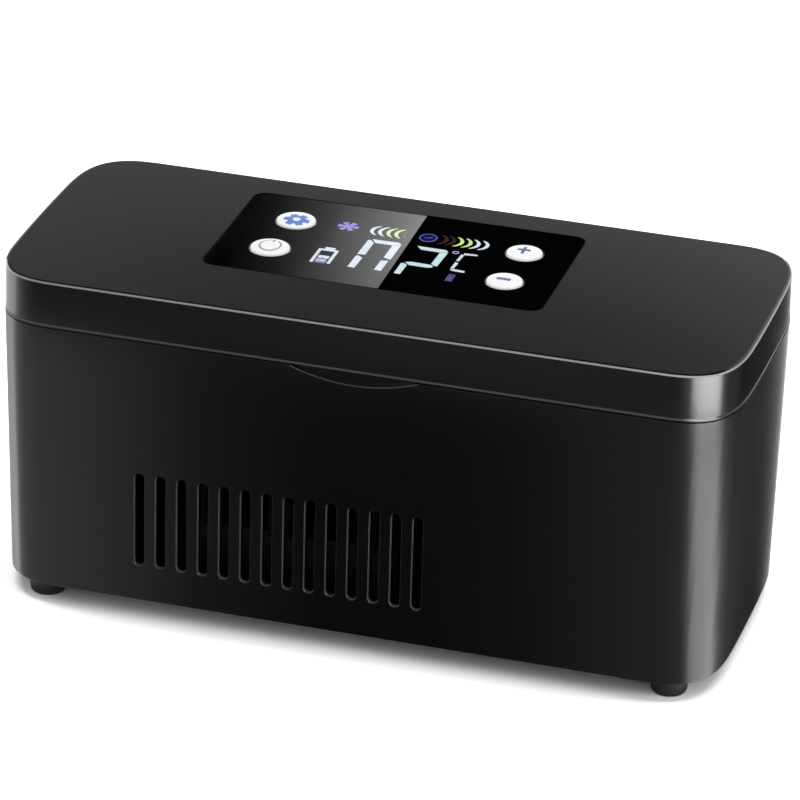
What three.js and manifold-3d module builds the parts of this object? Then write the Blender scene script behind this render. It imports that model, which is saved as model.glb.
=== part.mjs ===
// Portable insulin cooling case: a long plastic box on rubber feet with a hinged lid. The lid carries
// the display and its four buttons. Below an insulated aluminium tray lie a thermoelectric cooler, its
// finned heat sink and a fan, which blows through the vent slots, with a battery and a board beside them.
// Millimetres. +X runs along the case, -Y is the front, +Z is up, and the feet stand on Z = 0.

import * as THREE from 'three';
import { mergeVertices } from 'three/addons/utils/BufferGeometryUtils.js';
import Module from 'manifold-3d';

// Case
const caseLength = 200;
const caseWidth = 85;
const cornerLength = 21; // how far along X a corner's curve runs
const cornerWidth = 26; // how far along Y it runs
const cornerPower = 3.2; // 2 would be an ellipse, and more is squarer
const endCrown = 1; // how far each end bulges in its middle
const endDraft = 1.4; // how far each end draws in from the rim down
const bodyHeight = 75.4;
const shellWall = 2.5;
const floorThickness = 2.5;
const bottomRadius = 2.5;
const rimBevel = 0.3;
const seamGap = 0.4;
const fitGap = 0.3; // clearance round a piece that is put into another
const overrun = 1; // how far a cutter runs past what it cuts
const weldDistance = 0.001;

// Feet
const footHeight = 5;
const footTopRadius = 5.2;
const footBottomRadius = 4.7;
const footEdge = 0.5;
const footPegRadius = 2;
const footPegHeight = 2;
const footInsetX = 14.5;
const footInsetY = 8;

// Vent slots and thumb recess
const coolerX = -19.2; // the heat sink, the fan and the vents share this middle
const ventCount = 14;
const ventPitch = 5.85;
const ventWidth = 2.9;
const ventRise = 10.4; // from the body's bottom
const ventTopDrop = 2.4; // from the heat sink's top
const thumbX = 0.5;
const thumbHalfWidth = 16.9;
const thumbDrop = 3.7;
const thumbDepth = 1.5;

// Base plate
const plateEndMargin = 16;
const plateSideMargin = 9.5;
const plateCorner = 8;
const ledgeWidth = 4;
const ledgeHeight = 2;
const baseScrewInset = 4.6;
const baseBossRadius = 3.4;
const baseBossHeight = 8;
const grilleInset = 2; // from the fan's bore
const grilleSlotWidth = 3;
const grillePitch = 5.4;

// Screws, all of one kind but for their lengths
const screwRadius = 1.25;
const screwHeadRadius = 2.4;
const screwHeadHeight = 1.3;
const screwGap = 0.2;
const baseScrewLength = 7;
const boardScrewLength = 7;
const blockScrewLength = 10;
const lidScrewLength = 7;

// Fan
const fanMargin = 3; // from the base plate's front and rear edges
const fanDepth = 15;
const fanCorner = 4;
const fanRim = 1.5;
const fanHoleInset = 5;
const fanStandoff = 2.5;
const fanStandoffRadius = 3;
const fanPlateRadius = 11;
const fanPlateThickness = 1.5;
const fanStrutWidth = 3;
const fanStrutCount = 4;
const fanShaftRadius = 1.5;
const fanShaftGap = 0.08;
const fanHubRadius = 10.5;
const fanHubGap = 0.4;
const fanTopGap = 1.5;
const fanHubBevel = 1;
const fanTipGap = 1.3;
const bladeCount = 7;
const bladeThickness = 1.1;
const bladeRootAngle = 50; // degrees from the plane of the fan
const bladeTipAngle = 30;
const bladeEdgeGap = 0.8;
const fanScrewReach = 11;

// Heat sink, thermoelectric module and cold block
const sinkLength = 76;
const sinkAirGap = 7;
const sinkBase = 4;
const finThickness = 1.2;
const finPitch = 4.6;
const moduleSize = 40;
const moduleThickness = 3.6;
const blockLength = 64;
const blockWidth = 40;
const blockThickness = 5.6;
const blockScrewInset = 5;
const blockBevel = 0.6;

// Chamber, insulation and deck
const endInsulation = 8.8;
const sideInsulation = 11.3;
const chamberWall = 1.2;
const chamberCorner = 8;
const chamberDepth = 21;
const flangeWidth = 4;
const deckDrop = 2;
const deckThickness = 2;
const ribReach = 8;
const ribThickness = 2.5;
const ribSpacing = 28;

// Sensor
const probeX = 34;
const probeLength = 8;
const probeWidth = 4;
const probeHeight = 3;

// Power board, battery and inlet
const boardThickness = 1.6;
const boardGap = 5;
const boardSideGap = 3;
const boardHoleInset = 6;
const boardRightInset = 14; // its right holes keep clear of the base screws' bosses
const boardHoleSide = 2.5;
const boardPostRadius = 2.3;
const boardPartHeight = 6;
const boardPartInset = 9;
const coilRadius = 5;
const chipSize = 8;
const chipHeight = 1.2;
const plugLength = 14;
const plugWidth = 6;
const batteryGap = 3;
const batteryAir = 4.5;
const batteryWidth = 37;
const batteryCorner = 6;
const batteryRibHeight = 7;
const batteryRibThickness = 1.6;
const jackInset = 25; // from the board's right edge
const jackWidth = 9;
const jackDepth = 11.7;
const jackHeight = 11;
const jackTopGap = 1.4;
const jackCollarRadius = 4;
const jackSocketRadius = 2.8;
const jackSocketDepth = 9;
const jackPinRadius = 0.8;

// Lid
const lidHeight = 12.8;
const lidWall = 2.2;
const lidSkin = 2.4;
const lidTopRadius = 1;
const lidEdgeBevel = 0.3;
const linerThickness = 1.6;
const plugDepth = 3; // how far the liner's bowl reaches below the deck's top
const plugGap = 1.5;
const plugTaper = 1;
const gasketOffset = 2;
const gasketWidth = 4;
const gasketBevel = 0.5;
const lidBossRadius = 3.2;
const lidBossInsetX = 9.5;
const lidBossInsetY = 9.8;
const lidFoamGap = 0.8;
const magnetRadius = 2.5;
const magnetThickness = 1.2;
const magnetInset = 3.1;

// Display panel
const panelX = -3.4;
const panelY = 7.3;
const panelLength = 92;
const panelWidth = 49.5;
const panelCorner = 3.5;
const panelRecess = 1;
const panelThickness = 0.9;
const panelGap = 0.15;
const displayGap = 0.4;
const displayWidth = 36;
const displayThickness = 2.5;
const displayCorner = 1;
const displayRim = 1.6;
const displayTabLength = 10;
const displayTabWidth = 3;
const controlLength = 84;
const controlWidth = 46;
const controlPartHeight = 3.2;
const controlPostRadius = 2.4;
const controlPostInset = 3.2;
const buzzerRadius = 4.5;
const ribbonLength = 16;
const ribbonWidth = 5;

// Buttons and their switches
const leftCapRadius = 5.25; // settings and power
const rightCapRadius = 4.8; // plus and minus
const capGap = 0.3;
const capRise = 0.8;
const capEdgeRise = 0.2;
const capFlangeWidth = 0.8;
const capFlangeHeight = 0.8;
const capWall = 1;
const capRoof = 1.6;
const stemRadius = 1.5;
const pressGap = 0.7; // from the stem down to the switch, for a travel of 0.6
const switchSize = 6;
const switchBodyHeight = 0.8;
const switchHeight = 1.5;
const switchNubRadius = 1.6;
const settingsInset = 15.5; // from the panel's left end
const powerInset = 14.3;
const plusInset = 13.5; // from the panel's right end
const minusInset = 13.7;
const rearRowInset = 14.8; // from the panel's rear edge
const frontRowInset = 15.7; // from the panel's front edge

// Hinges
const hingeSpacing = 110;
const hingeOffset = 2; // the pins' axis lies this far behind the body's rear face
const knuckleRadius = 2.8;
const lidKnuckleWidth = 12;
const bodyKnuckleWidth = 7;
const knuckleGap = 0.3;
const knuckleRelief = 0.4;
const pinRadius = 1;
const pinGap = 0.08;
const gussetHeight = 8;
const gussetDepth = 1;

// Counts of facets
const cornerSteps = 8;
const filletSteps = 3;
const crownSteps = 3;
const holeSides = 8;
const pinSides = 16;
const roundSides = 16;
const wideSides = 28;
const roundingSteps = 4;
const slotEndSteps = 3;
const thumbSteps = 12;

// Levels and half sizes worked out from the values above
const floorZ = footHeight;
const rimZ = floorZ + bodyHeight;
const lidBottomZ = rimZ + seamGap;
const lidTopZ = lidBottomZ + lidHeight;
const skinZ = lidTopZ - lidSkin;
const deckTopZ = rimZ - deckDrop;
const flangeTopZ = deckTopZ - deckThickness;
const trayFloorZ = flangeTopZ - chamberDepth;
const trayBottomZ = trayFloorZ - chamberWall;
const moduleTopZ = trayBottomZ - blockThickness;
const sinkTopZ = moduleTopZ - moduleThickness;
const plateTopZ = floorZ + floorThickness;
const fanBottomZ = plateTopZ + fanStandoff;
const fanTopZ = fanBottomZ + fanDepth;
const boardTopZ = sinkTopZ - jackTopGap - jackHeight;
const boardBottomZ = boardTopZ - boardThickness;
const displayBottomZ = skinZ - displayThickness;
const controlBottomZ = displayBottomZ - boardThickness;
const switchTopZ = displayBottomZ + switchHeight;
const linerTopZ = lidBottomZ + linerThickness;
const bowlBottomZ = deckTopZ - plugDepth;
const hingeY = caseWidth / 2 + hingeOffset;
const hingeZ = rimZ + seamGap / 2;
const barrelReach = hingeOffset + knuckleRadius;

const mouthLength = caseLength - 2 * (shellWall + endInsulation + chamberWall);
const mouthWidth = caseWidth - 2 * (shellWall + sideInsulation + chamberWall);
const plateLength = caseLength - 2 * plateEndMargin;
const plateWidth = caseWidth - 2 * plateSideMargin;
const fanSize = plateWidth - 2 * fanMargin;
const fanBoreRadius = fanSize / 2 - fanRim;
const fanHoleSpacing = fanSize - 2 * fanHoleInset;
const grilleRadius = fanBoreRadius - grilleInset;
const sinkWidth = caseWidth - 2 * (shellWall + sinkAirGap);
const boardLeft = coolerX + sinkLength / 2 + boardGap;
const boardRight = caseLength / 2 - shellWall - endDraft - ribReach - fitGap;
const boardWidth = caseWidth - 2 * (shellWall + boardSideGap);
const batteryLeft = coolerX + sinkLength / 2 + batteryGap;
const batteryRight = plateLength / 2 - ledgeWidth - batteryGap;
const batteryTopZ = boardBottomZ - batteryAir;
const magnetY = magnetInset + fitGap + shellWall - caseWidth / 2;
const jackX = boardRight - jackInset;
const panelLeft = panelX - panelLength / 2;
const panelRight = panelX + panelLength / 2;
const flangeReach = capGap + capFlangeWidth; // from a cap's rim to its flange's
const leftFlangeRadius = leftCapRadius + flangeReach;
const rightFlangeRadius = rightCapRadius + flangeReach;
const displayLeft = panelLeft + Math.max(settingsInset, powerInset) + leftFlangeRadius + displayGap;
const displayRight = panelRight - Math.max(plusInset, minusInset) - rightFlangeRadius - displayGap;
const displayLength = displayRight - displayLeft;
const displayX = (displayLeft + displayRight) / 2;
const rearRowY = panelY + panelWidth / 2 - rearRowInset;
const frontRowY = panelY - panelWidth / 2 + frontRowInset;

const buttonPlaces = {
  settings: { x: panelLeft + settingsInset, y: rearRowY, radius: leftCapRadius },
  power: { x: panelLeft + powerInset, y: frontRowY, radius: leftCapRadius },
  plus: { x: panelRight - plusInset, y: rearRowY, radius: rightCapRadius },
  minus: { x: panelRight - minusInset, y: frontRowY, radius: rightCapRadius },
};

const cornerSigns = {
  front_left: [-1, -1],
  front_right: [1, -1],
  rear_left: [-1, 1],
  rear_right: [1, 1],
};

const finishes = {
  shell: { color: 0x1c1c1e, roughness: 0.35, metalness: 0 },
  panel: { color: 0x050506, roughness: 0.05, metalness: 0 },
  cap: { color: 0xf2f4f6, roughness: 0.35, metalness: 0 },
  rubber: { color: 0x0c0c0c, roughness: 0.8, metalness: 0 },
  liner: { color: 0x2b2c2f, roughness: 0.5, metalness: 0 },
  foam: { color: 0xd9dadb, roughness: 0.9, metalness: 0 },
  aluminium: { color: 0xb9bcc0, roughness: 0.35, metalness: 1 },
  blackened: { color: 0x2a2b2d, roughness: 0.5, metalness: 0.6 },
  steel: { color: 0x9a9da1, roughness: 0.3, metalness: 1 },
  ceramic: { color: 0xe8e6df, roughness: 0.6, metalness: 0 },
  fan: { color: 0x17181a, roughness: 0.5, metalness: 0 },
  board: { color: 0x1f5a34, roughness: 0.5, metalness: 0 },
  battery: { color: 0x2d4f8a, roughness: 0.4, metalness: 0 },
};

const wasm = await Module();
wasm.setup();

// Outlines, as points that run anticlockwise

function caseOutline(inset, drawIn = 0) {
  const halfLength = caseLength / 2 - inset - drawIn;
  const halfWidth = caseWidth / 2 - inset;
  const reachX = cornerLength - inset;
  const reachY = cornerWidth - inset;
  const points = [];
  for (let corner = 0; corner < 4; corner++) {
    const signX = corner === 0 || corner === 3 ? 1 : -1;
    const signY = corner < 2 ? 1 : -1;
    if (corner % 2 === 0) points.push(new THREE.Vector2(signX * halfLength, 0));
    for (let step = 0; step <= cornerSteps; step++) {
      const angle = ((corner + step / cornerSteps) * Math.PI) / 2;
      const alongX = Math.abs(Math.cos(angle)) ** (2 / cornerPower);
      const alongY = Math.abs(Math.sin(angle)) ** (2 / cornerPower);
      const x = halfLength - reachX + reachX * alongX;
      const y = halfWidth - reachY + reachY * alongY;
      const crown = (endCrown * (y / halfWidth) ** 2 * x) / halfLength;
      points.push(new THREE.Vector2(signX * (x - crown), signY * y));
    }
  }
  return points;
}

function roundedRectangle(length, width, radius, middleX = 0, middleY = 0) {
  const points = [];
  for (let corner = 0; corner < 4; corner++) {
    const signX = corner === 0 || corner === 3 ? 1 : -1;
    const signY = corner < 2 ? 1 : -1;
    for (let step = 0; step <= roundingSteps; step++) {
      const angle = ((corner + step / roundingSteps) * Math.PI) / 2;
      const x = middleX + signX * (length / 2 - radius) + radius * Math.cos(angle);
      const y = middleY + signY * (width / 2 - radius) + radius * Math.sin(angle);
      points.push(new THREE.Vector2(x, y));
    }
  }
  return points;
}

function slotOutline(width, height, middleX, middleY) {
  const points = [];
  const radius = width / 2;
  for (const end of [0, 1]) {
    const sign = end === 0 ? 1 : -1;
    for (let step = 0; step <= slotEndSteps; step++) {
      const angle = (end + step / slotEndSteps) * Math.PI;
      const y = middleY + sign * (height / 2 - radius) + radius * Math.sin(angle);
      points.push(new THREE.Vector2(middleX + radius * Math.cos(angle), y));
    }
  }
  return points;
}

// Solids from outlines

function facingOut(geometry) {
  const place = geometry.attributes.position;
  const index = geometry.index.array;
  const corner = [new THREE.Vector3(), new THREE.Vector3(), new THREE.Vector3()];
  let volume = 0;
  for (let i = 0; i < index.length; i += 3) {
    corner.forEach((point, k) => point.fromBufferAttribute(place, index[i + k]));
    volume += corner[0].dot(corner[1].clone().cross(corner[2]));
  }
  if (volume < 0)
    for (let i = 0; i < index.length; i += 3) [index[i], index[i + 1]] = [index[i + 1], index[i]];
  return geometry;
}

function prism(outline, bottom, top) {
  const settings = { depth: top - bottom, bevelEnabled: false };
  return new THREE.ExtrudeGeometry(new THREE.Shape(outline), settings).translate(0, 0, bottom);
}

function frame(outline, opening, bottom, top) {
  const shape = new THREE.Shape(outline);
  shape.holes.push(new THREE.Path(opening));
  const settings = { depth: top - bottom, bevelEnabled: false };
  return new THREE.ExtrudeGeometry(shape, settings).translate(0, 0, bottom);
}

// An outline of X and Z, extruded along Y
function prismAlongY(outline, front, back) {
  return prism(outline, -back, -front).rotateX(Math.PI / 2);
}

// An outline of Y and Z, extruded along X
function prismAlongX(outline, left, right) {
  const turn = new THREE.Matrix4().makeBasis(
    new THREE.Vector3(0, 1, 0),
    new THREE.Vector3(0, 0, 1),
    new THREE.Vector3(1, 0, 0),
  );
  return prism(outline, left, right).applyMatrix4(turn);
}

function block(left, right, front, back, bottom, top) {
  return new THREE.BoxGeometry(right - left, back - front, top - bottom).translate(
    (left + right) / 2,
    (front + back) / 2,
    (bottom + top) / 2,
  );
}

function rod(radius, bottom, top, x = 0, y = 0, sides = holeSides) {
  return new THREE.CylinderGeometry(radius, radius, top - bottom, sides)
    .rotateX(Math.PI / 2)
    .translate(x, y, (bottom + top) / 2);
}

function rodAlongX(radius, left, right, y, z, sides) {
  return new THREE.CylinderGeometry(radius, radius, right - left, sides)
    .rotateZ(Math.PI / 2)
    .translate((left + right) / 2, y, z);
}

function rodAlongY(radius, front, back, x, z, sides) {
  return new THREE.CylinderGeometry(radius, radius, back - front, sides)
    .rotateY(Math.PI)
    .translate(x, (front + back) / 2, z);
}

// A profile of radius and height pairs, turned about Z
function turned(profile, sides) {
  const points = profile.map(([radius, height]) => new THREE.Vector2(radius, height));
  const geometry = new THREE.LatheGeometry(points, sides).rotateX(Math.PI / 2);
  geometry.deleteAttribute('normal');
  geometry.deleteAttribute('uv');
  return facingOut(mergeVertices(geometry, weldDistance));
}

// Closed rings of as many points each, skinned one to the next and capped at both ends
function loft(rings) {
  const count = rings[0].length;
  const index = [];
  for (let ring = 0; ring + 1 < rings.length; ring++)
    for (let i = 0; i < count; i++) {
      const here = ring * count + i;
      const next = ring * count + ((i + 1) % count);
      index.push(here, next, next + count, here, next + count, here + count);
    }
  const last = (rings.length - 1) * count;
  for (let i = 1; i + 1 < count; i++) {
    index.push(0, i + 1, i);
    index.push(last, last + i, last + i + 1);
  }
  const geometry = new THREE.BufferGeometry();
  const places = rings.flat().flatMap((point) => [point.x, point.y, point.z]);
  geometry.setAttribute('position', new THREE.Float32BufferAttribute(places, 3));
  geometry.setIndex(index);
  return facingOut(geometry);
}

function ringAt(outline, z) {
  return outline.map((point) => new THREE.Vector3(point.x, point.y, z));
}

function asSolid(shape) {
  if (!shape.isBufferGeometry) return shape;
  const bare = new THREE.BufferGeometry();
  bare.setAttribute('position', shape.attributes.position);
  bare.setIndex(shape.index);
  const merged = mergeVertices(bare, weldDistance);
  const mesh = new wasm.Mesh({
    numProp: 3,
    vertProperties: merged.attributes.position.array,
    triVerts: new Uint32Array(merged.index.array),
  });
  return new wasm.Manifold(mesh);
}

function join(base, ...others) {
  return others.flat().reduce((sum, other) => sum.add(asSolid(other)), asSolid(base));
}

function cut(base, ...tools) {
  return tools.flat().reduce((rest, tool) => rest.subtract(asSolid(tool)), asSolid(base));
}

function asGeometry(shape) {
  if (shape.isBufferGeometry) return shape;
  const mesh = shape.getMesh();
  const geometry = new THREE.BufferGeometry();
  geometry.setAttribute('position', new THREE.BufferAttribute(mesh.vertProperties, 3));
  geometry.setIndex(new THREE.BufferAttribute(mesh.triVerts, 1));
  return geometry;
}

function atCorners(reachX, reachY, make) {
  return Object.values(cornerSigns).map(([signX, signY]) => make(signX * reachX, signY * reachY));
}

// Body shell

function draftAt(z) {
  return (endDraft * (rimZ - z)) / bodyHeight;
}

function bodyRing(z, inset) {
  return ringAt(caseOutline(inset, draftAt(z)), z);
}

function bodyOutside() {
  const rings = [];
  for (let step = 0; step <= filletSteps; step++) {
    const angle = ((step / filletSteps) * Math.PI) / 2;
    const rise = bottomRadius * (1 - Math.cos(angle));
    rings.push(bodyRing(floorZ + rise, bottomRadius * (1 - Math.sin(angle))));
  }
  rings.push(bodyRing(rimZ - rimBevel, 0), bodyRing(rimZ, rimBevel));
  return loft(rings);
}

const ventBottomZ = floorZ + ventRise;
const ventTopZ = sinkTopZ - ventTopDrop;

function ventCutters() {
  const cutters = [];
  const reach = caseWidth / 2 + overrun;
  for (let i = 0; i < ventCount; i++) {
    const x = coolerX + (i - (ventCount - 1) / 2) * ventPitch;
    const outline = slotOutline(ventWidth, ventTopZ - ventBottomZ, x, (ventTopZ + ventBottomZ) / 2);
    cutters.push(prismAlongY(outline, -reach, shellWall + overrun - caseWidth / 2));
    cutters.push(prismAlongY(outline, caseWidth / 2 - shellWall - overrun, reach));
  }
  return cutters;
}

// A shallow scoop whose lower edge is an arc on the front face. It slopes up to the rim as it goes in.
function thumbCutter() {
  const slope = thumbDrop / thumbDepth;
  const ring = (depth) => {
    const points = [];
    for (let step = 0; step <= thumbSteps; step++) {
      const share = (2 * step) / thumbSteps - 1;
      const z = rimZ - thumbDrop * (1 - share ** 2) + slope * depth;
      points.push(new THREE.Vector3(thumbX + share * thumbHalfWidth, depth - caseWidth / 2, z));
    }
    const top = rimZ + slope * (depth + overrun) + overrun;
    points.push(new THREE.Vector3(thumbX + thumbHalfWidth, depth - caseWidth / 2, top));
    points.push(new THREE.Vector3(thumbX - thumbHalfWidth, depth - caseWidth / 2, top));
    return points;
  };
  return loft([ring(-overrun), ring(thumbDepth + overrun)]);
}

const boardHoles = [boardLeft + boardHoleInset, boardRight - boardRightInset].flatMap((x) =>
  [-1, 1].map((side) => ({ x, y: side * (boardWidth / 2 - boardHoleSide) })),
);
const plateScrewX = plateLength / 2 - baseScrewInset;
const plateScrewY = plateWidth / 2 - baseScrewInset;

function shellInsides() {
  const ledge = frame(
    roundedRectangle(plateLength + 2 * ledgeWidth, plateWidth + 2 * ledgeWidth, plateCorner),
    roundedRectangle(plateLength - 2 * ledgeWidth, plateWidth - 2 * ledgeWidth, plateCorner),
    plateTopZ,
    plateTopZ + ledgeHeight,
  );
  const bosses = atCorners(plateScrewX, plateScrewY, (x, y) =>
    rod(baseBossRadius, plateTopZ, plateTopZ + baseBossHeight, x, y),
  );
  const posts = boardHoles.map(({ x, y }) =>
    rod(boardPostRadius, plateTopZ - rimBevel, boardBottomZ, x, y),
  );
  const ribs = [-1, 1].flatMap((end) =>
    [-1, 1].map((side) => {
      const inner = end * (caseLength / 2 - shellWall - endDraft - ribReach);
      const outer = end * (caseLength / 2 - shellWall - endDraft + rimBevel);
      const y = (side * ribSpacing) / 2;
      const [left, right] = end < 0 ? [outer, inner] : [inner, outer];
      const [front, back] = [y - ribThickness / 2, y + ribThickness / 2];
      return block(left, right, front, back, plateTopZ - rimBevel, sinkTopZ);
    }),
  );
  return [ledge, ...bosses, ...posts, ...ribs];
}

function shellHoles() {
  const opening = roundedRectangle(plateLength + 2 * fitGap, plateWidth + 2 * fitGap, plateCorner);
  const jackHole = rodAlongY(
    jackCollarRadius + fitGap,
    caseWidth / 2 - shellWall - overrun,
    caseWidth / 2 + overrun,
    jackX,
    jackZ,
    roundSides,
  );
  const bossHoles = atCorners(plateScrewX, plateScrewY, (x, y) =>
    rod(screwRadius + screwGap, plateTopZ - overrun, plateTopZ + baseBossHeight - overrun, x, y),
  );
  const postHoles = boardHoles.map(({ x, y }) =>
    rod(screwRadius + screwGap, boardTopZ - boardScrewLength - overrun, boardTopZ, x, y),
  );
  const pegHoles = atCorners(footX, footY, (x, y) =>
    rod(footPegRadius + fitGap, floorZ - overrun, plateTopZ + overrun, x, y),
  );
  return [prism(opening, floorZ - overrun, plateTopZ), jackHole, bossHoles, postHoles, pegHoles].flat();
}

const footX = caseLength / 2 - footInsetX;
const footY = caseWidth / 2 - footInsetY;
const jackZ = boardTopZ + jackHeight / 2;

// Hinge knuckles. A knuckle is a round eye and a web that runs up or down the rear wall.

const hinges = [-1, 1].map((side) => (side * hingeSpacing) / 2);
const eyeSides = hinges.flatMap((x) =>
  [-1, 1].map((side) => {
    const near = x + side * (lidKnuckleWidth / 2 + knuckleGap);
    const far = near + side * bodyKnuckleWidth;
    return [Math.min(near, far), Math.max(near, far)];
  }),
);
const lidEyes = hinges.map((x) => [x - lidKnuckleWidth / 2, x + lidKnuckleWidth / 2]);

function knuckle([left, right], up) {
  const wallY = caseWidth / 2;
  const tangent = Math.PI / 6;
  const web = [
    new THREE.Vector2(wallY - gussetDepth, hingeZ + (up * seamGap) / 2),
    new THREE.Vector2(hingeY, hingeZ + (up * seamGap) / 2),
    new THREE.Vector2(
      hingeY + knuckleRadius * Math.cos(tangent),
      hingeZ + up * knuckleRadius * Math.sin(tangent),
    ),
    new THREE.Vector2(wallY, hingeZ + up * gussetHeight),
    new THREE.Vector2(wallY - gussetDepth, hingeZ + up * gussetHeight),
  ];
  if (up < 0) web.reverse();
  const eye = rodAlongX(knuckleRadius, left, right, hingeY, hingeZ, roundSides);
  return join(eye, prismAlongX(web, left, right));
}

function pinBore([left, right]) {
  const radius = pinRadius + pinGap;
  return rodAlongX(radius, left - overrun, right + overrun, hingeY, hingeZ, pinSides);
}

function eyeRelief([left, right]) {
  const radius = knuckleRadius + knuckleRelief;
  return rodAlongX(radius, left - knuckleGap, right + knuckleGap, hingeY, hingeZ, roundSides);
}

function outerShell() {
  const inside = loft([bodyRing(plateTopZ, shellWall), bodyRing(rimZ + overrun, shellWall)]);
  let shell = cut(bodyOutside(), inside);
  shell = join(shell, shellInsides());
  shell = cut(shell, shellHoles(), ventCutters(), thumbCutter(), lidEyes.map(eyeRelief));
  shell = join(shell, eyeSides.map((eye) => knuckle(eye, -1)));
  return cut(shell, eyeSides.map(pinBore));
}

// Base plate with the fan's intake grille

function grilleCutters() {
  const cutters = [];
  const most = Math.floor((grilleRadius - grilleSlotWidth / 2) / grillePitch);
  for (let i = -most; i <= most; i++) {
    const offset = i * grillePitch;
    const length = 2 * Math.sqrt(grilleRadius ** 2 - offset ** 2);
    const outline = slotOutline(grilleSlotWidth, length, coolerX + offset, 0);
    cutters.push(prism(outline, floorZ - overrun, plateTopZ + overrun));
  }
  return cutters;
}

const fanHoles = Object.values(cornerSigns).map(([signX, signY]) => ({
  x: coolerX + (signX * fanHoleSpacing) / 2,
  y: (signY * fanHoleSpacing) / 2,
}));

function screwPocket(x, y) {
  const head = rod(screwHeadRadius + fitGap, floorZ - overrun, floorZ + screwHeadHeight, x, y);
  const hole = rod(screwRadius + screwGap, floorZ, fanBottomZ + overrun, x, y);
  return [head, hole];
}

function basePlate() {
  const sheet = prism(roundedRectangle(plateLength, plateWidth, plateCorner), floorZ, plateTopZ);
  const standoffs = fanHoles.map(({ x, y }) =>
    rod(fanStandoffRadius, plateTopZ - rimBevel, fanBottomZ, x, y),
  );
  const ribTopZ = plateTopZ + batteryRibHeight;
  const inner = batteryWidth / 2 + fitGap;
  const outer = inner + batteryRibThickness;
  const ribs = [-1, 1].map((side) => {
    const [front, back] = side < 0 ? [-outer, -inner] : [inner, outer];
    return block(batteryLeft, batteryRight, front, back, plateTopZ - rimBevel, ribTopZ);
  });
  const pockets = atCorners(plateScrewX, plateScrewY, screwPocket).flat();
  const fanPockets = fanHoles.flatMap(({ x, y }) => screwPocket(x, y));
  return cut(join(sheet, standoffs, ribs), grilleCutters(), pockets, fanPockets);
}

// Foot: a tapered rubber button with a peg that is pressed into the shell's floor
function foot() {
  return turned(
    [
      [0, -footHeight],
      [footBottomRadius - footEdge, -footHeight],
      [footBottomRadius, footEdge - footHeight],
      [footTopRadius, 0],
      [footPegRadius, 0],
      [footPegRadius, footPegHeight],
      [0, footPegHeight],
    ],
    roundSides,
  );
}

// Screw: its head's bearing face lies on Z = 0 and its shank runs down
function screw(length) {
  return turned(
    [
      [0, -length],
      [screwRadius, -length],
      [screwRadius, 0],
      [screwHeadRadius, 0],
      [screwHeadRadius, screwHeadHeight],
      [0, screwHeadHeight],
    ],
    holeSides,
  );
}

// Fan

function fanFrame() {
  const body = prism(roundedRectangle(fanSize, fanSize, fanCorner), fanBottomZ, fanTopZ);
  const bore = rod(fanBoreRadius, fanBottomZ - overrun, fanTopZ + overrun, 0, 0, wideSides);
  const plateZ = fanBottomZ + fanPlateThickness;
  const plate = rod(fanPlateRadius, fanBottomZ, plateZ, 0, 0, roundSides);
  const struts = [];
  for (let i = 0; i < fanStrutCount; i++) {
    const reach = fanBoreRadius + fitGap;
    const strut = block(0, reach, -fanStrutWidth / 2, fanStrutWidth / 2, fanBottomZ, plateZ);
    struts.push(strut.rotateZ(((i + 1 / 2) * 2 * Math.PI) / fanStrutCount));
  }
  const bearing = rod(fanShaftRadius + fanShaftGap, floorZ, fanTopZ, 0, 0, pinSides);
  const holes = fanHoles.map(({ x, y }) =>
    rod(screwRadius + screwGap, fanBottomZ - overrun, fanTopZ + overrun, x - coolerX, y),
  );
  return cut(join(cut(body, bore), plate, struts), bearing, holes);
}

// One blade, from inside the hub to its tip, flatter at the tip than at the root
function blade(turn) {
  const lowZ = fanBottomZ + fanPlateThickness + bladeEdgeGap;
  const highZ = fanTopZ - fanTopGap - bladeEdgeGap;
  const section = (radius, degrees) => {
    const angle = THREE.MathUtils.degToRad(degrees);
    const half = (highZ - lowZ) / 2 / Math.tan(angle);
    const swing = half / radius;
    const thick = bladeThickness / Math.sin(angle) / radius / 2;
    const places = [
      [-swing - thick, lowZ],
      [-swing + thick, lowZ],
      [swing + thick, highZ],
      [swing - thick, highZ],
    ];
    return places.map(([around, z]) => {
      const way = turn + around;
      return new THREE.Vector3(radius * Math.cos(way), radius * Math.sin(way), z);
    });
  };
  const root = fanHubRadius - fitGap;
  const tip = fanBoreRadius - fanTipGap;
  const middle = (root + tip) / 2;
  return loft([
    section(root, bladeRootAngle),
    section(middle, (bladeRootAngle + bladeTipAngle) / 2),
    section(tip, bladeTipAngle),
  ]);
}

function fanRotor() {
  const lowZ = fanBottomZ + fanPlateThickness + fanHubGap;
  const highZ = fanTopZ - fanTopGap;
  const hub = turned(
    [
      [0, lowZ],
      [fanHubRadius, lowZ],
      [fanHubRadius, highZ - fanHubBevel],
      [fanHubRadius - fanHubBevel, highZ],
      [0, highZ],
    ],
    roundSides,
  );
  const shaft = rod(fanShaftRadius, fanBottomZ, lowZ + fitGap, 0, 0, pinSides);
  const blades = [];
  for (let i = 0; i < bladeCount; i++) blades.push(blade((i * 2 * Math.PI) / bladeCount));
  return join(hub, shaft, blades);
}

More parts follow.
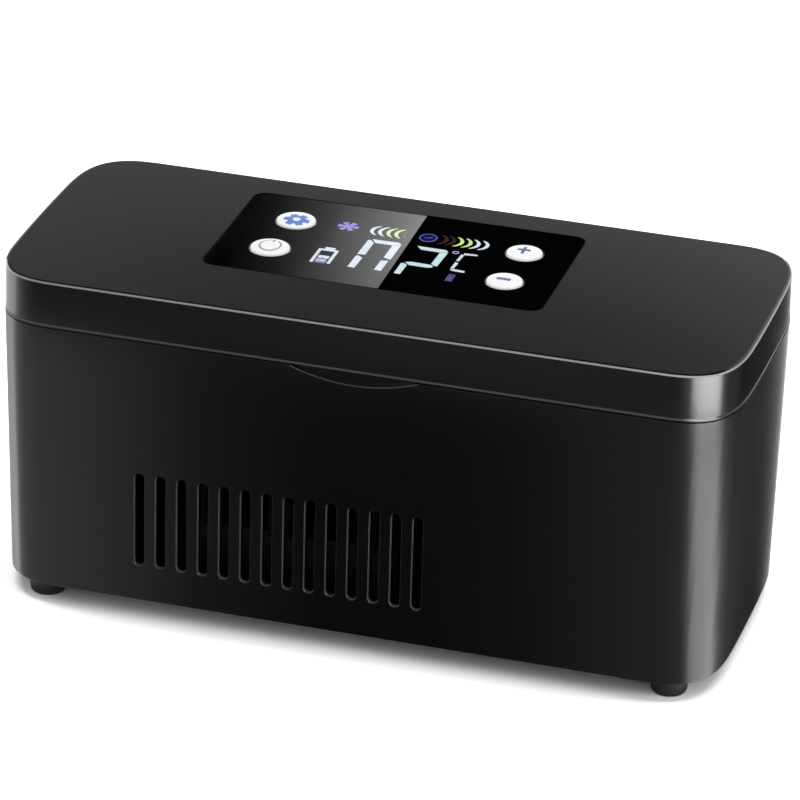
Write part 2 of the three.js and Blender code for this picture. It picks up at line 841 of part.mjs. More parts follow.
// Heat sink: a comb of fins under a base, extruded along Y
function heatSink() {
  const baseZ = sinkTopZ - sinkBase;
  const gaps = Math.floor((sinkLength - finThickness) / finPitch);
  const pitch = (sinkLength - finThickness) / gaps;
  const points = [
    new THREE.Vector2(sinkLength / 2, sinkTopZ),
    new THREE.Vector2(-sinkLength / 2, sinkTopZ),
  ];
  for (let i = 0; i <= gaps; i++) {
    const left = i * pitch - sinkLength / 2;
    const right = left + finThickness;
    if (i > 0) points.push(new THREE.Vector2(left, baseZ));
    points.push(new THREE.Vector2(left, fanTopZ), new THREE.Vector2(right, fanTopZ));
    if (i < gaps) points.push(new THREE.Vector2(right, baseZ));
  }
  const comb = prismAlongY(points, -sinkWidth / 2, sinkWidth / 2);
  const holes = [-1, 1].map((side) =>
    rod(screwRadius + screwGap, baseZ - overrun, sinkTopZ + overrun, side * blockScrewX, 0),
  );
  return cut(comb, holes);
}

const blockScrewX = blockLength / 2 - blockScrewInset;

function coldBlock() {
  const outline = roundedRectangle(blockLength, blockWidth, blockBevel);
  const holes = [-1, 1].flatMap((side) => [
    rod(screwRadius + screwGap, moduleTopZ - overrun, trayBottomZ + overrun, side * blockScrewX, 0),
    rod(
      screwHeadRadius + fitGap,
      trayBottomZ - screwHeadHeight - fitGap,
      trayBottomZ + overrun,
      side * blockScrewX,
      0,
    ),
  ]);
  return cut(prism(outline, moduleTopZ, trayBottomZ), holes);
}

function thermoModule() {
  const half = moduleSize / 2;
  return block(-half, half, -half, half, sinkTopZ, moduleTopZ);
}

// Tray, insulation and deck

function mouthOutline(grow) {
  const radius = chamberCorner + grow;
  return roundedRectangle(mouthLength + 2 * grow, mouthWidth + 2 * grow, radius);
}

function coldChamber() {
  const tray = prism(mouthOutline(chamberWall), trayBottomZ, flangeTopZ);
  const flange = prism(mouthOutline(flangeWidth), flangeTopZ - chamberWall, flangeTopZ);
  return cut(join(tray, flange), prism(mouthOutline(0), trayFloorZ, flangeTopZ + overrun));
}

function chamberInsulation() {
  const topZ = flangeTopZ - chamberWall;
  const outside = loft([
    bodyRing(sinkTopZ, shellWall + fitGap),
    bodyRing(topZ, shellWall + fitGap),
  ]);
  const well = prism(mouthOutline(chamberWall + fitGap), trayBottomZ, topZ + overrun);
  const blockHole = prism(
    roundedRectangle(
      blockLength + 2 * fitGap,
      blockWidth + 2 * fitGap,
      blockBevel + fitGap,
      coolerX,
      0,
    ),
    sinkTopZ - overrun,
    trayBottomZ + overrun,
  );
  const probeHole = block(
    probeX - probeLength / 2 - fitGap,
    probeX + probeLength / 2 + fitGap,
    -probeWidth / 2 - fitGap,
    probeWidth / 2 + fitGap,
    trayBottomZ - probeHeight - fitGap,
    trayBottomZ + overrun,
  );
  return cut(outside, well, blockHole, probeHole);
}

function temperatureProbe() {
  const outline = roundedRectangle(probeWidth, probeHeight, probeHeight / 3);
  return prismAlongX(outline, probeX - probeLength / 2, probeX + probeLength / 2).translate(
    0,
    0,
    trayBottomZ - probeHeight / 2,
  );
}

function topDeck() {
  const rim = caseOutline(shellWall + fitGap, draftAt(flangeTopZ));
  const ring = frame(rim, mouthOutline(0), flangeTopZ, deckTopZ);
  const pocketZ = deckTopZ - magnetThickness;
  return cut(ring, rod(magnetRadius + fitGap, pocketZ, deckTopZ + overrun, thumbX, magnetY));
}

function magnet(bottom) {
  return rod(magnetRadius, bottom, bottom + magnetThickness, thumbX, magnetY, roundSides);
}

// Power board, battery and inlet

function mainBoard() {
  const sheet = block(
    boardLeft,
    boardRight,
    -boardWidth / 2,
    boardWidth / 2,
    boardBottomZ,
    boardTopZ,
  );
  const partsX = boardLeft + boardPartInset;
  const low = boardTopZ - rimBevel;
  const coils = [-1, 1].map((side) =>
    rod(coilRadius, low, boardTopZ + boardPartHeight, partsX, side * 2 * coilRadius, roundSides),
  );
  const chipX = partsX + 3 * coilRadius;
  const chip = block(
    chipX - chipSize / 2,
    chipX + chipSize / 2,
    -chipSize / 2,
    chipSize / 2,
    low,
    boardTopZ + chipHeight,
  );
  const plugs = [-1, 0, 1].map((row) => {
    const y = row * (plugLength + boardGap) - plugLength / 2;
    return block(
      boardRight - boardGap - plugWidth,
      boardRight - boardGap,
      y,
      y + plugLength,
      low,
      boardTopZ + boardPartHeight,
    );
  });
  const holes = boardHoles.map(({ x, y }) =>
    rod(screwRadius + screwGap, boardBottomZ - overrun, boardTopZ + overrun, x, y),
  );
  return cut(join(sheet, coils, chip, plugs), holes);
}

function batteryPack() {
  const length = batteryRight - batteryLeft;
  const height = batteryTopZ - plateTopZ;
  const outline = roundedRectangle(batteryWidth, height, batteryCorner);
  return prismAlongX(outline, -length / 2, length / 2).translate(
    (batteryLeft + batteryRight) / 2,
    0,
    plateTopZ + height / 2,
  );
}

function dcJack() {
  const faceY = caseWidth / 2 - shellWall - fitGap;
  const mouthY = caseWidth / 2 - fitGap;
  const body = block(
    jackX - jackWidth / 2,
    jackX + jackWidth / 2,
    faceY - jackDepth,
    faceY,
    boardTopZ,
    boardTopZ + jackHeight,
  );
  const collar = rodAlongY(jackCollarRadius, faceY - fitGap, mouthY, jackX, jackZ, roundSides);
  const socketY = mouthY - jackSocketDepth;
  const socket = rodAlongY(jackSocketRadius, socketY, mouthY + overrun, jackX, jackZ, roundSides);
  const pinTip = mouthY - jackCollarRadius / 2;
  const pin = rodAlongY(jackPinRadius, socketY - fitGap, pinTip, jackX, jackZ, holeSides);
  return join(cut(join(body, collar), socket), pin);
}

// Lid

function lidRing(z, inset) {
  return ringAt(caseOutline(inset), z);
}

function lidOutside() {
  const rings = [lidRing(lidBottomZ, lidEdgeBevel), lidRing(lidBottomZ + lidEdgeBevel, 0)];
  for (let step = 0; step <= filletSteps; step++) {
    const angle = ((step / filletSteps) * Math.PI) / 2;
    const z = lidTopZ - lidTopRadius * (1 - Math.sin(angle));
    rings.push(lidRing(z, lidTopRadius * (1 - Math.cos(angle))));
  }
  return loft(rings);
}

const lidBossX = caseLength / 2 - lidBossInsetX;
const lidBossY = caseWidth / 2 - lidBossInsetY;
const controlPostX = controlLength / 2 - controlPostInset;
const controlPostY = controlWidth / 2 - controlPostInset;

function capHoles(bottom, top) {
  return Object.values(buttonPlaces).map(({ x, y, radius }) =>
    rod(radius + capGap, bottom, top, x, y, roundSides),
  );
}

function lidShell() {
  const inside = loft([lidRing(lidBottomZ - overrun, lidWall), lidRing(skinZ, lidWall)]);
  const bosses = atCorners(lidBossX, lidBossY, (x, y) =>
    rod(lidBossRadius, linerTopZ, skinZ + rimBevel, x, y),
  );
  const posts = atCorners(controlPostX, controlPostY, (x, y) =>
    rod(controlPostRadius, displayBottomZ, skinZ + rimBevel, panelX + x, panelY + y),
  );
  const recess = prism(
    roundedRectangle(
      panelLength + 2 * panelGap,
      panelWidth + 2 * panelGap,
      panelCorner,
      panelX,
      panelY,
    ),
    lidTopZ - panelRecess,
    lidTopZ + overrun,
  );
  const view = prism(
    roundedRectangle(
      displayLength - 2 * displayRim,
      displayWidth - 2 * displayRim,
      displayCorner,
      displayX,
      panelY,
    ),
    skinZ - overrun,
    lidTopZ,
  );
  const screwHoles = atCorners(lidBossX, lidBossY, (x, y) =>
    rod(screwRadius + screwGap, lidBottomZ, lidBottomZ + lidScrewLength + overrun, x, y),
  );
  let lid = join(cut(lidOutside(), inside), bosses, posts);
  lid = cut(lid, recess, view, capHoles(skinZ - overrun, lidTopZ), screwHoles);
  lid = cut(lid, eyeSides.map(eyeRelief));
  lid = join(lid, lidEyes.map((eye) => knuckle(eye, 1)));
  return cut(lid, lidEyes.map(pinBore));
}

function panelWindow() {
  const bottom = lidTopZ - panelRecess;
  const top = bottom + panelThickness;
  const outline = roundedRectangle(panelLength, panelWidth, panelCorner, panelX, panelY);
  return cut(prism(outline, bottom, top), capHoles(bottom - overrun, top + overrun));
}

// The liner: a flat cover with a shallow bowl that plugs the chamber's mouth
function lidLiner() {
  const rim = caseOutline(lidWall + fitGap);
  const plate = prism(rim, lidBottomZ, linerTopZ);
  const bowl = loft([
    ringAt(mouthOutline(-plugGap - plugTaper), bowlBottomZ),
    ringAt(mouthOutline(-plugGap), lidBottomZ + linerThickness / 2),
  ]);
  const hollow = loft([
    ringAt(mouthOutline(-plugGap - plugTaper - linerThickness), bowlBottomZ + linerThickness),
    ringAt(mouthOutline(-plugGap - linerThickness), linerTopZ + overrun),
  ]);
  const holes = atCorners(lidBossX, lidBossY, (x, y) =>
    rod(screwRadius + screwGap, lidBottomZ - overrun, linerTopZ + overrun, x, y),
  );
  const pocketZ = lidBottomZ + magnetThickness;
  const pocket = rod(magnetRadius + fitGap, lidBottomZ - overrun, pocketZ, thumbX, magnetY);
  return cut(join(plate, bowl), hollow, holes, pocket);
}

function lidFoam() {
  const bottom = bowlBottomZ + linerThickness;
  const top = controlBottomZ - controlPartHeight - fitGap;
  const inset = -plugGap - plugTaper - linerThickness - lidFoamGap;
  return prism(mouthOutline(inset), bottom, top);
}

function lidGasket() {
  const bottom = deckTopZ + fitGap;
  const outer = gasketOffset + gasketWidth;
  const body = loft([
    ringAt(mouthOutline(outer - gasketBevel), bottom),
    ringAt(mouthOutline(outer), bottom + gasketBevel),
    ringAt(mouthOutline(outer), lidBottomZ),
  ]);
  return cut(body, prism(mouthOutline(gasketOffset), bottom - overrun, lidBottomZ + overrun));
}

function displayModule() {
  const outline = roundedRectangle(displayLength, displayWidth, displayCorner, displayX, panelY);
  const tabs = [-1, 1].map((side) => {
    const inner = panelY + side * (displayWidth / 2 - rimBevel);
    const outer = inner + side * displayTabWidth;
    const [front, back] = [Math.min(inner, outer), Math.max(inner, outer)];
    const half = displayTabLength / 2;
    const top = displayBottomZ + displayThickness / 2;
    return block(displayX - half, displayX + half, front, back, displayBottomZ, top);
  });
  return join(prism(outline, displayBottomZ, skinZ), tabs);
}

function controlBoard() {
  const sheet = roundedRectangle(controlLength, controlWidth, displayCorner, panelX, panelY);
  const low = controlBottomZ - controlPartHeight;
  const high = controlBottomZ + rimBevel;
  const buzzer = rod(buzzerRadius, low, high, panelX - controlLength / 4, panelY, roundSides);
  const socketX = panelX + controlLength / 4;
  const socket = block(
    socketX - ribbonLength / 2,
    socketX + ribbonLength / 2,
    panelY + controlWidth / 2 - 2 * ribbonWidth,
    panelY + controlWidth / 2 - ribbonWidth,
    low,
    high,
  );
  const chip = block(
    panelX - chipSize / 2,
    panelX + chipSize / 2,
    panelY - chipSize / 2,
    panelY + chipSize / 2,
    controlBottomZ - chipHeight,
    high,
  );
  return join(prism(sheet, controlBottomZ, displayBottomZ), buzzer, socket, chip);
}

// Button cap, hollow below, with a flange that stops it under the lid's skin and a stem for its switch.
// Its own Z = 0 is the lid's top face.
function buttonCap(radius) {
  const under = -lidSkin;
  const stemZ = switchTopZ + pressGap - lidTopZ;
  const roofZ = capRise - capRoof;
  const crown = [];
  for (let step = 0; step <= crownSteps; step++) {
    const share = 1 - step / crownSteps;
    crown.push([radius * share, capRise - (capRise - capEdgeRise) * share ** 2]);
  }
  return turned(
    [
      [0, stemZ],
      [stemRadius, stemZ],
      [stemRadius, roofZ],
      [radius - capWall, roofZ],
      [radius - capWall, under - capFlangeHeight],
      [radius + flangeReach, under - capFlangeHeight],
      [radius + flangeReach, under],
      [radius, under],
      ...crown,
    ],
    roundSides,
  );
}

// Tactile switch, standing on the control board at its own Z = 0
function tactileSwitch() {
  const half = switchSize / 2;
  const body = block(-half, half, -half, half, 0, switchBodyHeight);
  return join(body, rod(switchNubRadius, switchBodyHeight - rimBevel, switchHeight));
}

// Assembly

const base = new THREE.Group();
const lid = new THREE.Group();

function add(group, name, finish, shape, x = 0, y = 0, z = 0) {
  const settings = { ...finishes[finish], flatShading: true };
  const mesh = new THREE.Mesh(asGeometry(shape), new THREE.MeshStandardMaterial(settings));
  mesh.name = name;
  mesh.position.set(x, y, z);
  group.add(mesh);
  return mesh;
}

add(base, 'outer_shell', 'shell', outerShell());
add(base, 'base_plate', 'shell', basePlate());
for (const [corner, [signX, signY]] of Object.entries(cornerSigns)) {
  add(base, `${corner}_foot`, 'rubber', foot(), signX * footX, signY * footY, floorZ);
  const headZ = floorZ + screwHeadHeight;
  const plateScrew = [screw(baseScrewLength), signX * plateScrewX, signY * plateScrewY];
  add(base, `base_screw_${corner}`, 'steel', ...plateScrew, headZ).rotation.x = Math.PI;
  const [fanX, fanY] = [(signX * fanHoleSpacing) / 2, (signY * fanHoleSpacing) / 2];
  const fanScrew = [screw(fanBottomZ - headZ + fanScrewReach), coolerX + fanX, fanY];
  add(base, `fan_screw_${corner}`, 'steel', ...fanScrew, headZ).rotation.x = Math.PI;
}
boardHoles.forEach(({ x, y }, i) => {
  add(base, `board_screw_${i + 1}`, 'steel', screw(boardScrewLength), x, y, boardTopZ);
});
add(base, 'fan_frame', 'fan', fanFrame(), coolerX);
add(base, 'fan_rotor', 'fan', fanRotor(), coolerX);
add(base, 'heat_sink', 'blackened', heatSink(), coolerX);
add(base, 'peltier_module', 'ceramic', thermoModule(), coolerX);
add(base, 'cold_block', 'aluminium', coldBlock(), coolerX);
['left', 'right'].forEach((side, i) => {
  const x = coolerX + (2 * i - 1) * blockScrewX;
  const bearingZ = trayBottomZ - screwHeadHeight - fitGap;
  add(base, `block_screw_${side}`, 'steel', screw(blockScrewLength), x, 0, bearingZ);
  const half = lidKnuckleWidth / 2 + knuckleGap + bodyKnuckleWidth;
  const pin = rodAlongX(pinRadius, -half, half, 0, 0, pinSides);
  add(base, `hinge_pin_${side}`, 'steel', pin, hinges[i], hingeY, hingeZ);
});
add(base, 'cold_chamber', 'aluminium', coldChamber());
add(base, 'chamber_insulation', 'foam', chamberInsulation());
add(base, 'temperature_probe', 'steel', temperatureProbe());
add(base, 'top_deck', 'liner', topDeck());
add(base, 'deck_magnet', 'steel', magnet(deckTopZ - magnetThickness));
add(base, 'main_board', 'board', mainBoard());
add(base, 'battery_pack', 'battery', batteryPack());
add(base, 'dc_jack', 'fan', dcJack());

add(lid, 'lid_shell', 'shell', lidShell());
add(lid, 'panel_window', 'panel', panelWindow());
add(lid, 'lid_liner', 'liner', lidLiner());
add(lid, 'lid_foam', 'foam', lidFoam());
add(lid, 'lid_gasket', 'rubber', lidGasket());
add(lid, 'lid_magnet', 'steel', magnet(lidBottomZ));
add(lid, 'display_module', 'panel', displayModule());
add(lid, 'control_board', 'board', controlBoard());
for (const [corner, [signX, signY]] of Object.entries(cornerSigns)) {
  const lidScrew = [screw(lidScrewLength), signX * lidBossX, signY * lidBossY, lidBottomZ];
  add(lid, `lid_screw_${corner}`, 'steel', ...lidScrew).rotation.x = Math.PI;
}
for (const [name, { x, y, radius }] of Object.entries(buttonPlaces)) {
  add(lid, `${name}_switch`, 'fan', tactileSwitch(), x, y, displayBottomZ);
  add(lid, `${name}_button`, 'cap', buttonCap(radius), x, y, lidTopZ);
}

// The hinge barrels stand out behind, so the works shift forward to centre the whole on the origin.
const works = new THREE.Group();
works.add(base, lid);
works.position.y = -barrelReach / 2;
const coolingCase = new THREE.Group();
coolingCase.add(works);

export default coolingCase;
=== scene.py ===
import math

import bmesh
import bpy
from mathutils import Matrix, Vector


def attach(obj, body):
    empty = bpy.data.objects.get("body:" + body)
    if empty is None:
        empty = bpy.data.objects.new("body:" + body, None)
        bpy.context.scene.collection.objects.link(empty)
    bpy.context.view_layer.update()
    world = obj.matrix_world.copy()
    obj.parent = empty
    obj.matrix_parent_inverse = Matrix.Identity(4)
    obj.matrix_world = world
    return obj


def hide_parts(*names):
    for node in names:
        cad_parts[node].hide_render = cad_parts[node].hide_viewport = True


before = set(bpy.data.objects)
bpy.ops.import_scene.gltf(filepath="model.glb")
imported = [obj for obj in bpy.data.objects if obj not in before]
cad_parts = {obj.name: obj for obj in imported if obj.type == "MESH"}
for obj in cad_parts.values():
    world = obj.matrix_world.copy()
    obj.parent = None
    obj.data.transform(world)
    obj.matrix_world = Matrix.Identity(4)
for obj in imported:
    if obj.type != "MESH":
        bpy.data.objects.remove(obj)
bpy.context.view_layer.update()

# The pieces are drawn in millimetres about the middle of the case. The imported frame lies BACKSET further
# forward, because the hinge barrels stand out behind.
MM = 0.001
BACKSET = 2.4

# Case
HALF_LENGTH = 100
HALF_WIDTH = 42.5
CORNER_LENGTH = 21
CORNER_WIDTH = 26
CORNER_POWER = 3.2
END_CROWN = 1
END_DRAFT = 1.4
SHELL_WALL = 2.5
LID_WALL = 2.2
BOTTOM_RADIUS = 0.6
RIM_EDGE = 0.04
FIT_GAP = 0.3

# How far a cutter runs past what it cuts, and how far a raised form starts inside what carries it
OVERRUN = 1
EMBED = 0.3

# Heights over the floor that the feet stand on
FLOOR_Z = 5
PLATE_TOP_Z = 7.5
LEDGE_TOP_Z = 9.5
BASE_BOSS_TOP_Z = 15.5
BOARD_BORE_Z = 24.6
BOARD_BOTTOM_Z = 31
SINK_TOP_Z = 45
TRAY_BOTTOM_Z = 54.2
FLANGE_TOP_Z = 76.4
DECK_TOP_Z = 78.4
RIM_Z = 80.4
LID_BOTTOM_Z = 80.8
LINER_TOP_Z = 82.4
CONTROL_BOARD_TOP_Z = 88.7
SKIN_Z = 91.2
PANEL_FLOOR_Z = 92.6
WINDOW_Z = 93.5
LID_TOP_Z = 93.6

# Base plate, and what stands on the shell's floor
PLATE_LENGTH = 168
PLATE_WIDTH = 66
PLATE_CORNER = 8
LEDGE_WIDTH = 4
BASE_BOSS_RADIUS = 3.4
BOARD_X = 51.8
BOARD_POST_RADIUS = 2.3
RIB_X = 88.1
RIB_Y = 14
RIB_THICKNESS = 2.5

# Feet and screws: how far each of four lies from the middle of its group
FEET = (85.5, 34.5)
BASE_SCREWS = (79.4, 28.4)
FAN_SCREWS = (25, 25)
BOARD_SCREWS = (22, 34.5)
LID_SCREWS = (90.5, 32.7)
CONTROL_POSTS = (38.8, 19.8)
FOOT_PEG_RADIUS = 2
SCREW_BORE_RADIUS = 1.45
PLATE_BEARING_Z = 6.3
FAN_SCREW_REACH = 14.7
SCREW_REACH = 7

# Power inlet in the rear wall
INLET_X = 62.8
INLET_Z = 38.1
INLET_RADIUS = 4.3

# Cooled chamber
MOUTH_LENGTH = 175
MOUTH_WIDTH = 55
MOUTH_CORNER = 8
TRAY_WALL = 1.2
TRAY_FLANGE = 4
TRAY_FOLD = 1.8
MAGNET_Y = -36.6
MAGNET_POCKET_RADIUS = 2.8

# Vents and thumb recess
COOLER_X = -19.2
VENTS = 14
VENT_PITCH = 5.85
VENT_WIDTH = 2.9
VENT_BOTTOM_Z = 15.4
VENT_TOP_Z = 42.6
SLOT_EDGE = 1.2
THUMB_X = 0.5
THUMB_HALF_WIDTH = 16.9
THUMB_DROP = 3.05
THUMB_DEPTH = 1.5

# Display panel, the opening under it, and its buttons, each with its middle and its radius
PANEL_X = -3.4
PANEL_Y = 7.3
PANEL_LENGTH = 92
PANEL_WIDTH = 49.5
PANEL_CORNER = 3.5
PANEL_GAP = 0.15
VIEW_X = -2.275
VIEW_LENGTH = 46.55
VIEW_WIDTH = 32.8
VIEW_CORNER = 1
CONTROL_POST_RADIUS = 2.4
LID_BOSS_RADIUS = 3.2
CAP_GAP = 0.5
CAP_RISE = 0.8
CAP_EDGE_RISE = 0.2
CAPS = {
    "settings": (-33.9, 17.25, 5.25),
    "power": (-35.1, -1.75, 5.25),
    "plus": (29.1, 17.25, 4.8),
    "minus": (28.9, -1.75, 4.8),
}

# Hinges
HINGE_Y = 44.5
HINGE_Z = 80.6
HINGE_XS = (-55, 55)
EYE_RADIUS = 2.8
EYE_RELIEF = 0.4
LID_EYE = 12
BODY_EYE = 7
EYE_GAP = 0.3
WEB_HEIGHT = 8
WEB_DEPTH = 1
PIN_BORE_RADIUS = 1.08

CORNERS = {"front_left": (-1, -1), "front_right": (1, -1), "rear_left": (-1, 1), "rear_right": (1, 1)}


# Shader maths


class Wire:
    """A node's output that sums can be written with."""

    def __init__(self, paint, socket):
        self.paint = paint
        self.socket = socket

    def __add__(self, other):
        return self.paint.maths("ADD", self, other)

    def __mul__(self, other):
        return self.paint.maths("MULTIPLY", self, other)

    __radd__ = __add__
    __rmul__ = __mul__


class Paint:
    """A material or world and its nodes."""

    def __init__(self, owner, **uniform):
        self.owner = owner
        owner.use_nodes = True
        self.nodes = owner.node_tree.nodes
        self.links = owner.node_tree.links
        self.shader = self.nodes.get("Principled BSDF")
        for name, value in uniform.items():
            self.shader.inputs[name.replace("_", " ")].default_value = value

    def node(self, kind, settings=None, sockets=None, out=0):
        made = self.nodes.new("ShaderNode" + kind)
        for name, value in (settings or {}).items():
            setattr(made, name, value)
        for name, value in (sockets or {}).items():
            self.feed(made.inputs[name], value)
        return Wire(self, made.outputs[out])

    def feed(self, socket, value):
        if isinstance(value, Wire):
            self.links.new(value.socket, socket)
        else:
            socket.default_value = value

    def maths(self, operation, first, second):
        return self.node("Math", {"operation": operation}, {0: first, 1: second})

    def mix(self, share, first, second):
        return self.node("Mix", {"data_type": "RGBA"}, {0: share, 6: first, 7: second}, out=2)

    def place(self, stretch=(1, 1, 1)):
        """The rest place in metres, stretched to draw a grain out along an axis."""
        flat = self.node("TexCoord", out="Object")
        return self.node("Mapping", None, {"Vector": flat, "Scale": stretch})

    def noise(self, scale, detail=2.0, stretch=(1, 1, 1)):
        sockets = {"Vector": self.place(stretch), "Scale": scale, "Detail": detail}
        return self.node("TexNoise", None, sockets)

    def set(self, name, value):
        self.feed(self.shader.inputs[name], value)

    def bump(self, height, depth, strength=1.0):
        sockets = {"Height": height, "Distance": depth, "Strength": strength}
        self.set("Normal", self.node("Bump", None, sockets))


def grey(level, blue=1.0):
    return (level, level, level * blue, 1)


def shaded(colour, share):
    return tuple(channel * share for channel in colour[:3]) + (1,)


def new_paint(name, **uniform):
    return Paint(bpy.data.materials.new(name), **uniform)


def moulded(name, colour, roughness, grain_depth, grain=2400, coat=0.0, spread=0.15, glow=0.0):
    """Injection-moulded plastic: faint flow shading, an uneven gloss and an eroded grain. glow is painted
    light: an even emission that lifts a pale plastic's brightness, though the plastic is no lamp."""
    light = {"Emission_Color": grey(1.0), "Emission_Strength": glow}
    paint = new_paint(name, Coat_Weight=coat, Coat_Roughness=0.1, **light)
    flow = paint.noise(28, 3)
    spark = paint.noise(grain, 2)
    paint.set("Base Color", paint.mix(flow, shaded(colour, 1 - spread), shaded(colour, 1 + spread)))
    paint.set("Roughness", roughness - 0.05 + flow * 0.06 + spark * 0.04)
    paint.bump(spark, grain_depth)
    return paint.owner


def metal(name, colour, roughness, stretch, depth, metallic=1.0):
    """Worked metal: fine lines drawn out along one axis, over a slow change of tone."""
    paint = new_paint(name, Metallic=metallic)
    lines = paint.noise(900, 3, stretch)
    tone = paint.noise(45, 2)
    paint.set("Base Color", paint.mix(tone, shaded(colour, 0.82), shaded(colour, 1.08)))
    paint.set("Roughness", roughness - 0.08 + lines * 0.12 + tone * 0.06)
    paint.bump(lines, depth)
    return paint.owner


def lit(name, colour, strength, spread=0.12, gloss=0.5):
    """A lit sign under the panel's gloss: cells of slightly uneven light."""
    paint = new_paint(name, Roughness=0.06, Emission_Strength=strength, Specular_IOR_Level=gloss)
    cells = paint.noise(420, 1)
    paint.set("Base Color", grey(0.004))
    paint.set("Emission Color", paint.mix(cells, shaded(colour, 1 - spread), shaded(colour, 1 + spread)))
    return paint.owner


def printed(name, colour):
    """Ink on a cap, a little uneven. It also glows faintly in its own colour, which is painted light."""
    paint = new_paint(name, Emission_Strength=0.12)
    cover = paint.noise(1500, 2)
    ink = paint.mix(cover, shaded(colour, 0.85), shaded(colour, 1.15))
    paint.set("Base Color", ink)
    paint.set("Emission Color", ink)
    paint.set("Roughness", 0.3 + cover * 0.1)
    return paint.owner


def foamed(name, colour):
    """Closed-cell foam: pale cells with darker seams between them."""
    paint = new_paint(name)
    sockets = {"Vector": paint.place(), "Scale": 520.0}
    cells = paint.node("TexVoronoi", None, sockets)
    paint.set("Base Color", paint.mix(cells, shaded(colour, 1.1), shaded(colour, 0.8)))
    paint.set("Roughness", 0.8 + cells * 0.15)
    paint.bump(cells, 0.0002)
    return paint.owner


satin_black = moulded("satin_black", grey(0.0028, 1.05), 0.145, 0.000003)
lid_black = moulded("lid_black", grey(0.0028, 1.05), 0.14, 0.000003)
# A lighter grey on the outer part of the vents' and the inlet's walls: a painted highlight along their rims.
rim_highlight_grey = moulded("rim_highlight_grey", grey(0.12, 1.03), 0.42, 0.000004)
under_black = moulded("under_black", grey(0.006, 1.03), 0.42, 0.00002, 1700)
liner_grey = moulded("liner_grey", grey(0.022, 1.06), 0.4, 0.00002, 1500)
fan_black = moulded("fan_black", grey(0.004), 0.38, 0.000012, 1600)
window_black = moulded("window_black", grey(0.0012, 1.3), 0.06, 0.0, 900)
switch_black = moulded("switch_black", grey(0.012), 0.4, 0.00001)
board_green = moulded("board_green", (0.012, 0.09, 0.032, 1), 0.34, 0.00002, 900)
cell_blue = moulded("cell_blue", (0.02, 0.07, 0.24, 1), 0.3, 0.00003, 300)
module_white = moulded("module_white", grey(0.72, 0.95), 0.6, 0.00001)
soft_rubber = moulded("soft_rubber", grey(0.007), 0.55, 0.00003, 1100)
seal_rubber = moulded("seal_rubber", grey(0.016), 0.62, 0.00003, 1300)
tray_metal = metal("tray_metal", (0.78, 0.79, 0.81), 0.32, (0.03, 1, 1), 0.000012)
black_metal = metal("black_metal", (0.012, 0.012, 0.013), 0.42, (1, 0.04, 1), 0.00001, 0.8)
screw_metal = metal("screw_metal", (0.5, 0.51, 0.53), 0.3, (1, 1, 1), 0.00001)
magnet_metal = metal("magnet_metal", (0.62, 0.62, 0.64), 0.2, (1, 1, 1), 0.000004)
foam_white = foamed("foam_white", grey(0.6, 1.02))

cap_tone = (0.62, 0.625, 0.63, 1)
# The caps' glow is painted light: it lifts their tops and sides to near white.
cap_white = moulded("cap_white", cap_tone, 0.28, 0.000004, 700, coat=0.3, spread=0.05, glow=0.36)


# Outlines, as points that run anticlockwise

END_STEPS = 5
CORNER_STEPS = 24
FLAT_LEAD = 3


def case_outline(inset, drawn=0.0):
    """drawn is how much nearer the ends lie than the long walls, which the draft asks for."""
    half_length = HALF_LENGTH - inset - drawn
    half_width = HALF_WIDTH - inset
    reach_x = CORNER_LENGTH - inset
    reach_y = CORNER_WIDTH - inset
    quarter = [(half_length, (half_width - reach_y) * i / END_STEPS) for i in range(END_STEPS)]
    for step in range(CORNER_STEPS + 1):
        angle = step / CORNER_STEPS * math.pi / 2
        along_x = abs(math.cos(angle)) ** (2 / CORNER_POWER)
        along_y = abs(math.sin(angle)) ** (2 / CORNER_POWER)
        quarter.append((half_length - reach_x * (1 - along_x), half_width - reach_y * (1 - along_y)))
    # A point a little way along the long wall keeps its shading flat
    quarter.append((half_length - reach_x - FLAT_LEAD, half_width))
    quarter = [(x - END_CROWN * (y / half_width) ** 2 * x / half_length, y) for x, y in quarter]
    mirrored = [(-x, y) for x, y in reversed(quarter)]
    upper = quarter + mirrored
    return upper + [(-x, -y) for x, y in upper[1:-1]]


def rounded(length, width, radius, x=0.0, y=0.0, steps=10):
    points = []
    for corner, (sign_x, sign_y) in enumerate(((1, 1), (-1, 1), (-1, -1), (1, -1))):
        for step in range(steps + 1):
            angle = (corner + step / steps) * math.pi / 2
            middle_x = x + sign_x * (length / 2 - radius)
            middle_y = y + sign_y * (width / 2 - radius)
            points.append((middle_x + radius * math.cos(angle), middle_y + radius * math.sin(angle)))
    return points


def circle(radius, x=0.0, y=0.0, sides=48):
    turns = [2 * math.pi * i / sides for i in range(sides)]
    return [(x + radius * math.cos(turn), y + radius * math.sin(turn)) for turn in turns]


def slot_outline(width, height, x, y, steps=10):
    radius = width / 2
    points = []
    for end, sign in ((0, 1), (1, -1)):
        for step in range(steps + 1):
            angle = (end + step / steps) * math.pi
            middle = y + sign * (height / 2 - radius)
            points.append((x + radius * math.cos(angle), middle + radius * math.sin(angle)))
    return points


def mouth(grow):
    """The chamber's mouth, grown or shrunk all round."""
    return rounded(MOUTH_LENGTH + 2 * grow, MOUTH_WIDTH + 2 * grow, MOUTH_CORNER + grow)


def plate_outline(grow):
    return rounded(PLATE_LENGTH + 2 * grow, PLATE_WIDTH + 2 * grow, PLATE_CORNER)


def panel_outline(grow, corner):
    return rounded(PANEL_LENGTH + 2 * grow, PANEL_WIDTH + 2 * grow, corner, PANEL_X, PANEL_Y)


def at_corners(reach, x=0.0, y=0.0):
    """The four places of a group of feet, posts or screws about its middle."""
    return [(x + side_x * reach[0], y + side_y * reach[1]) for side_x, side_y in CORNERS.values()]


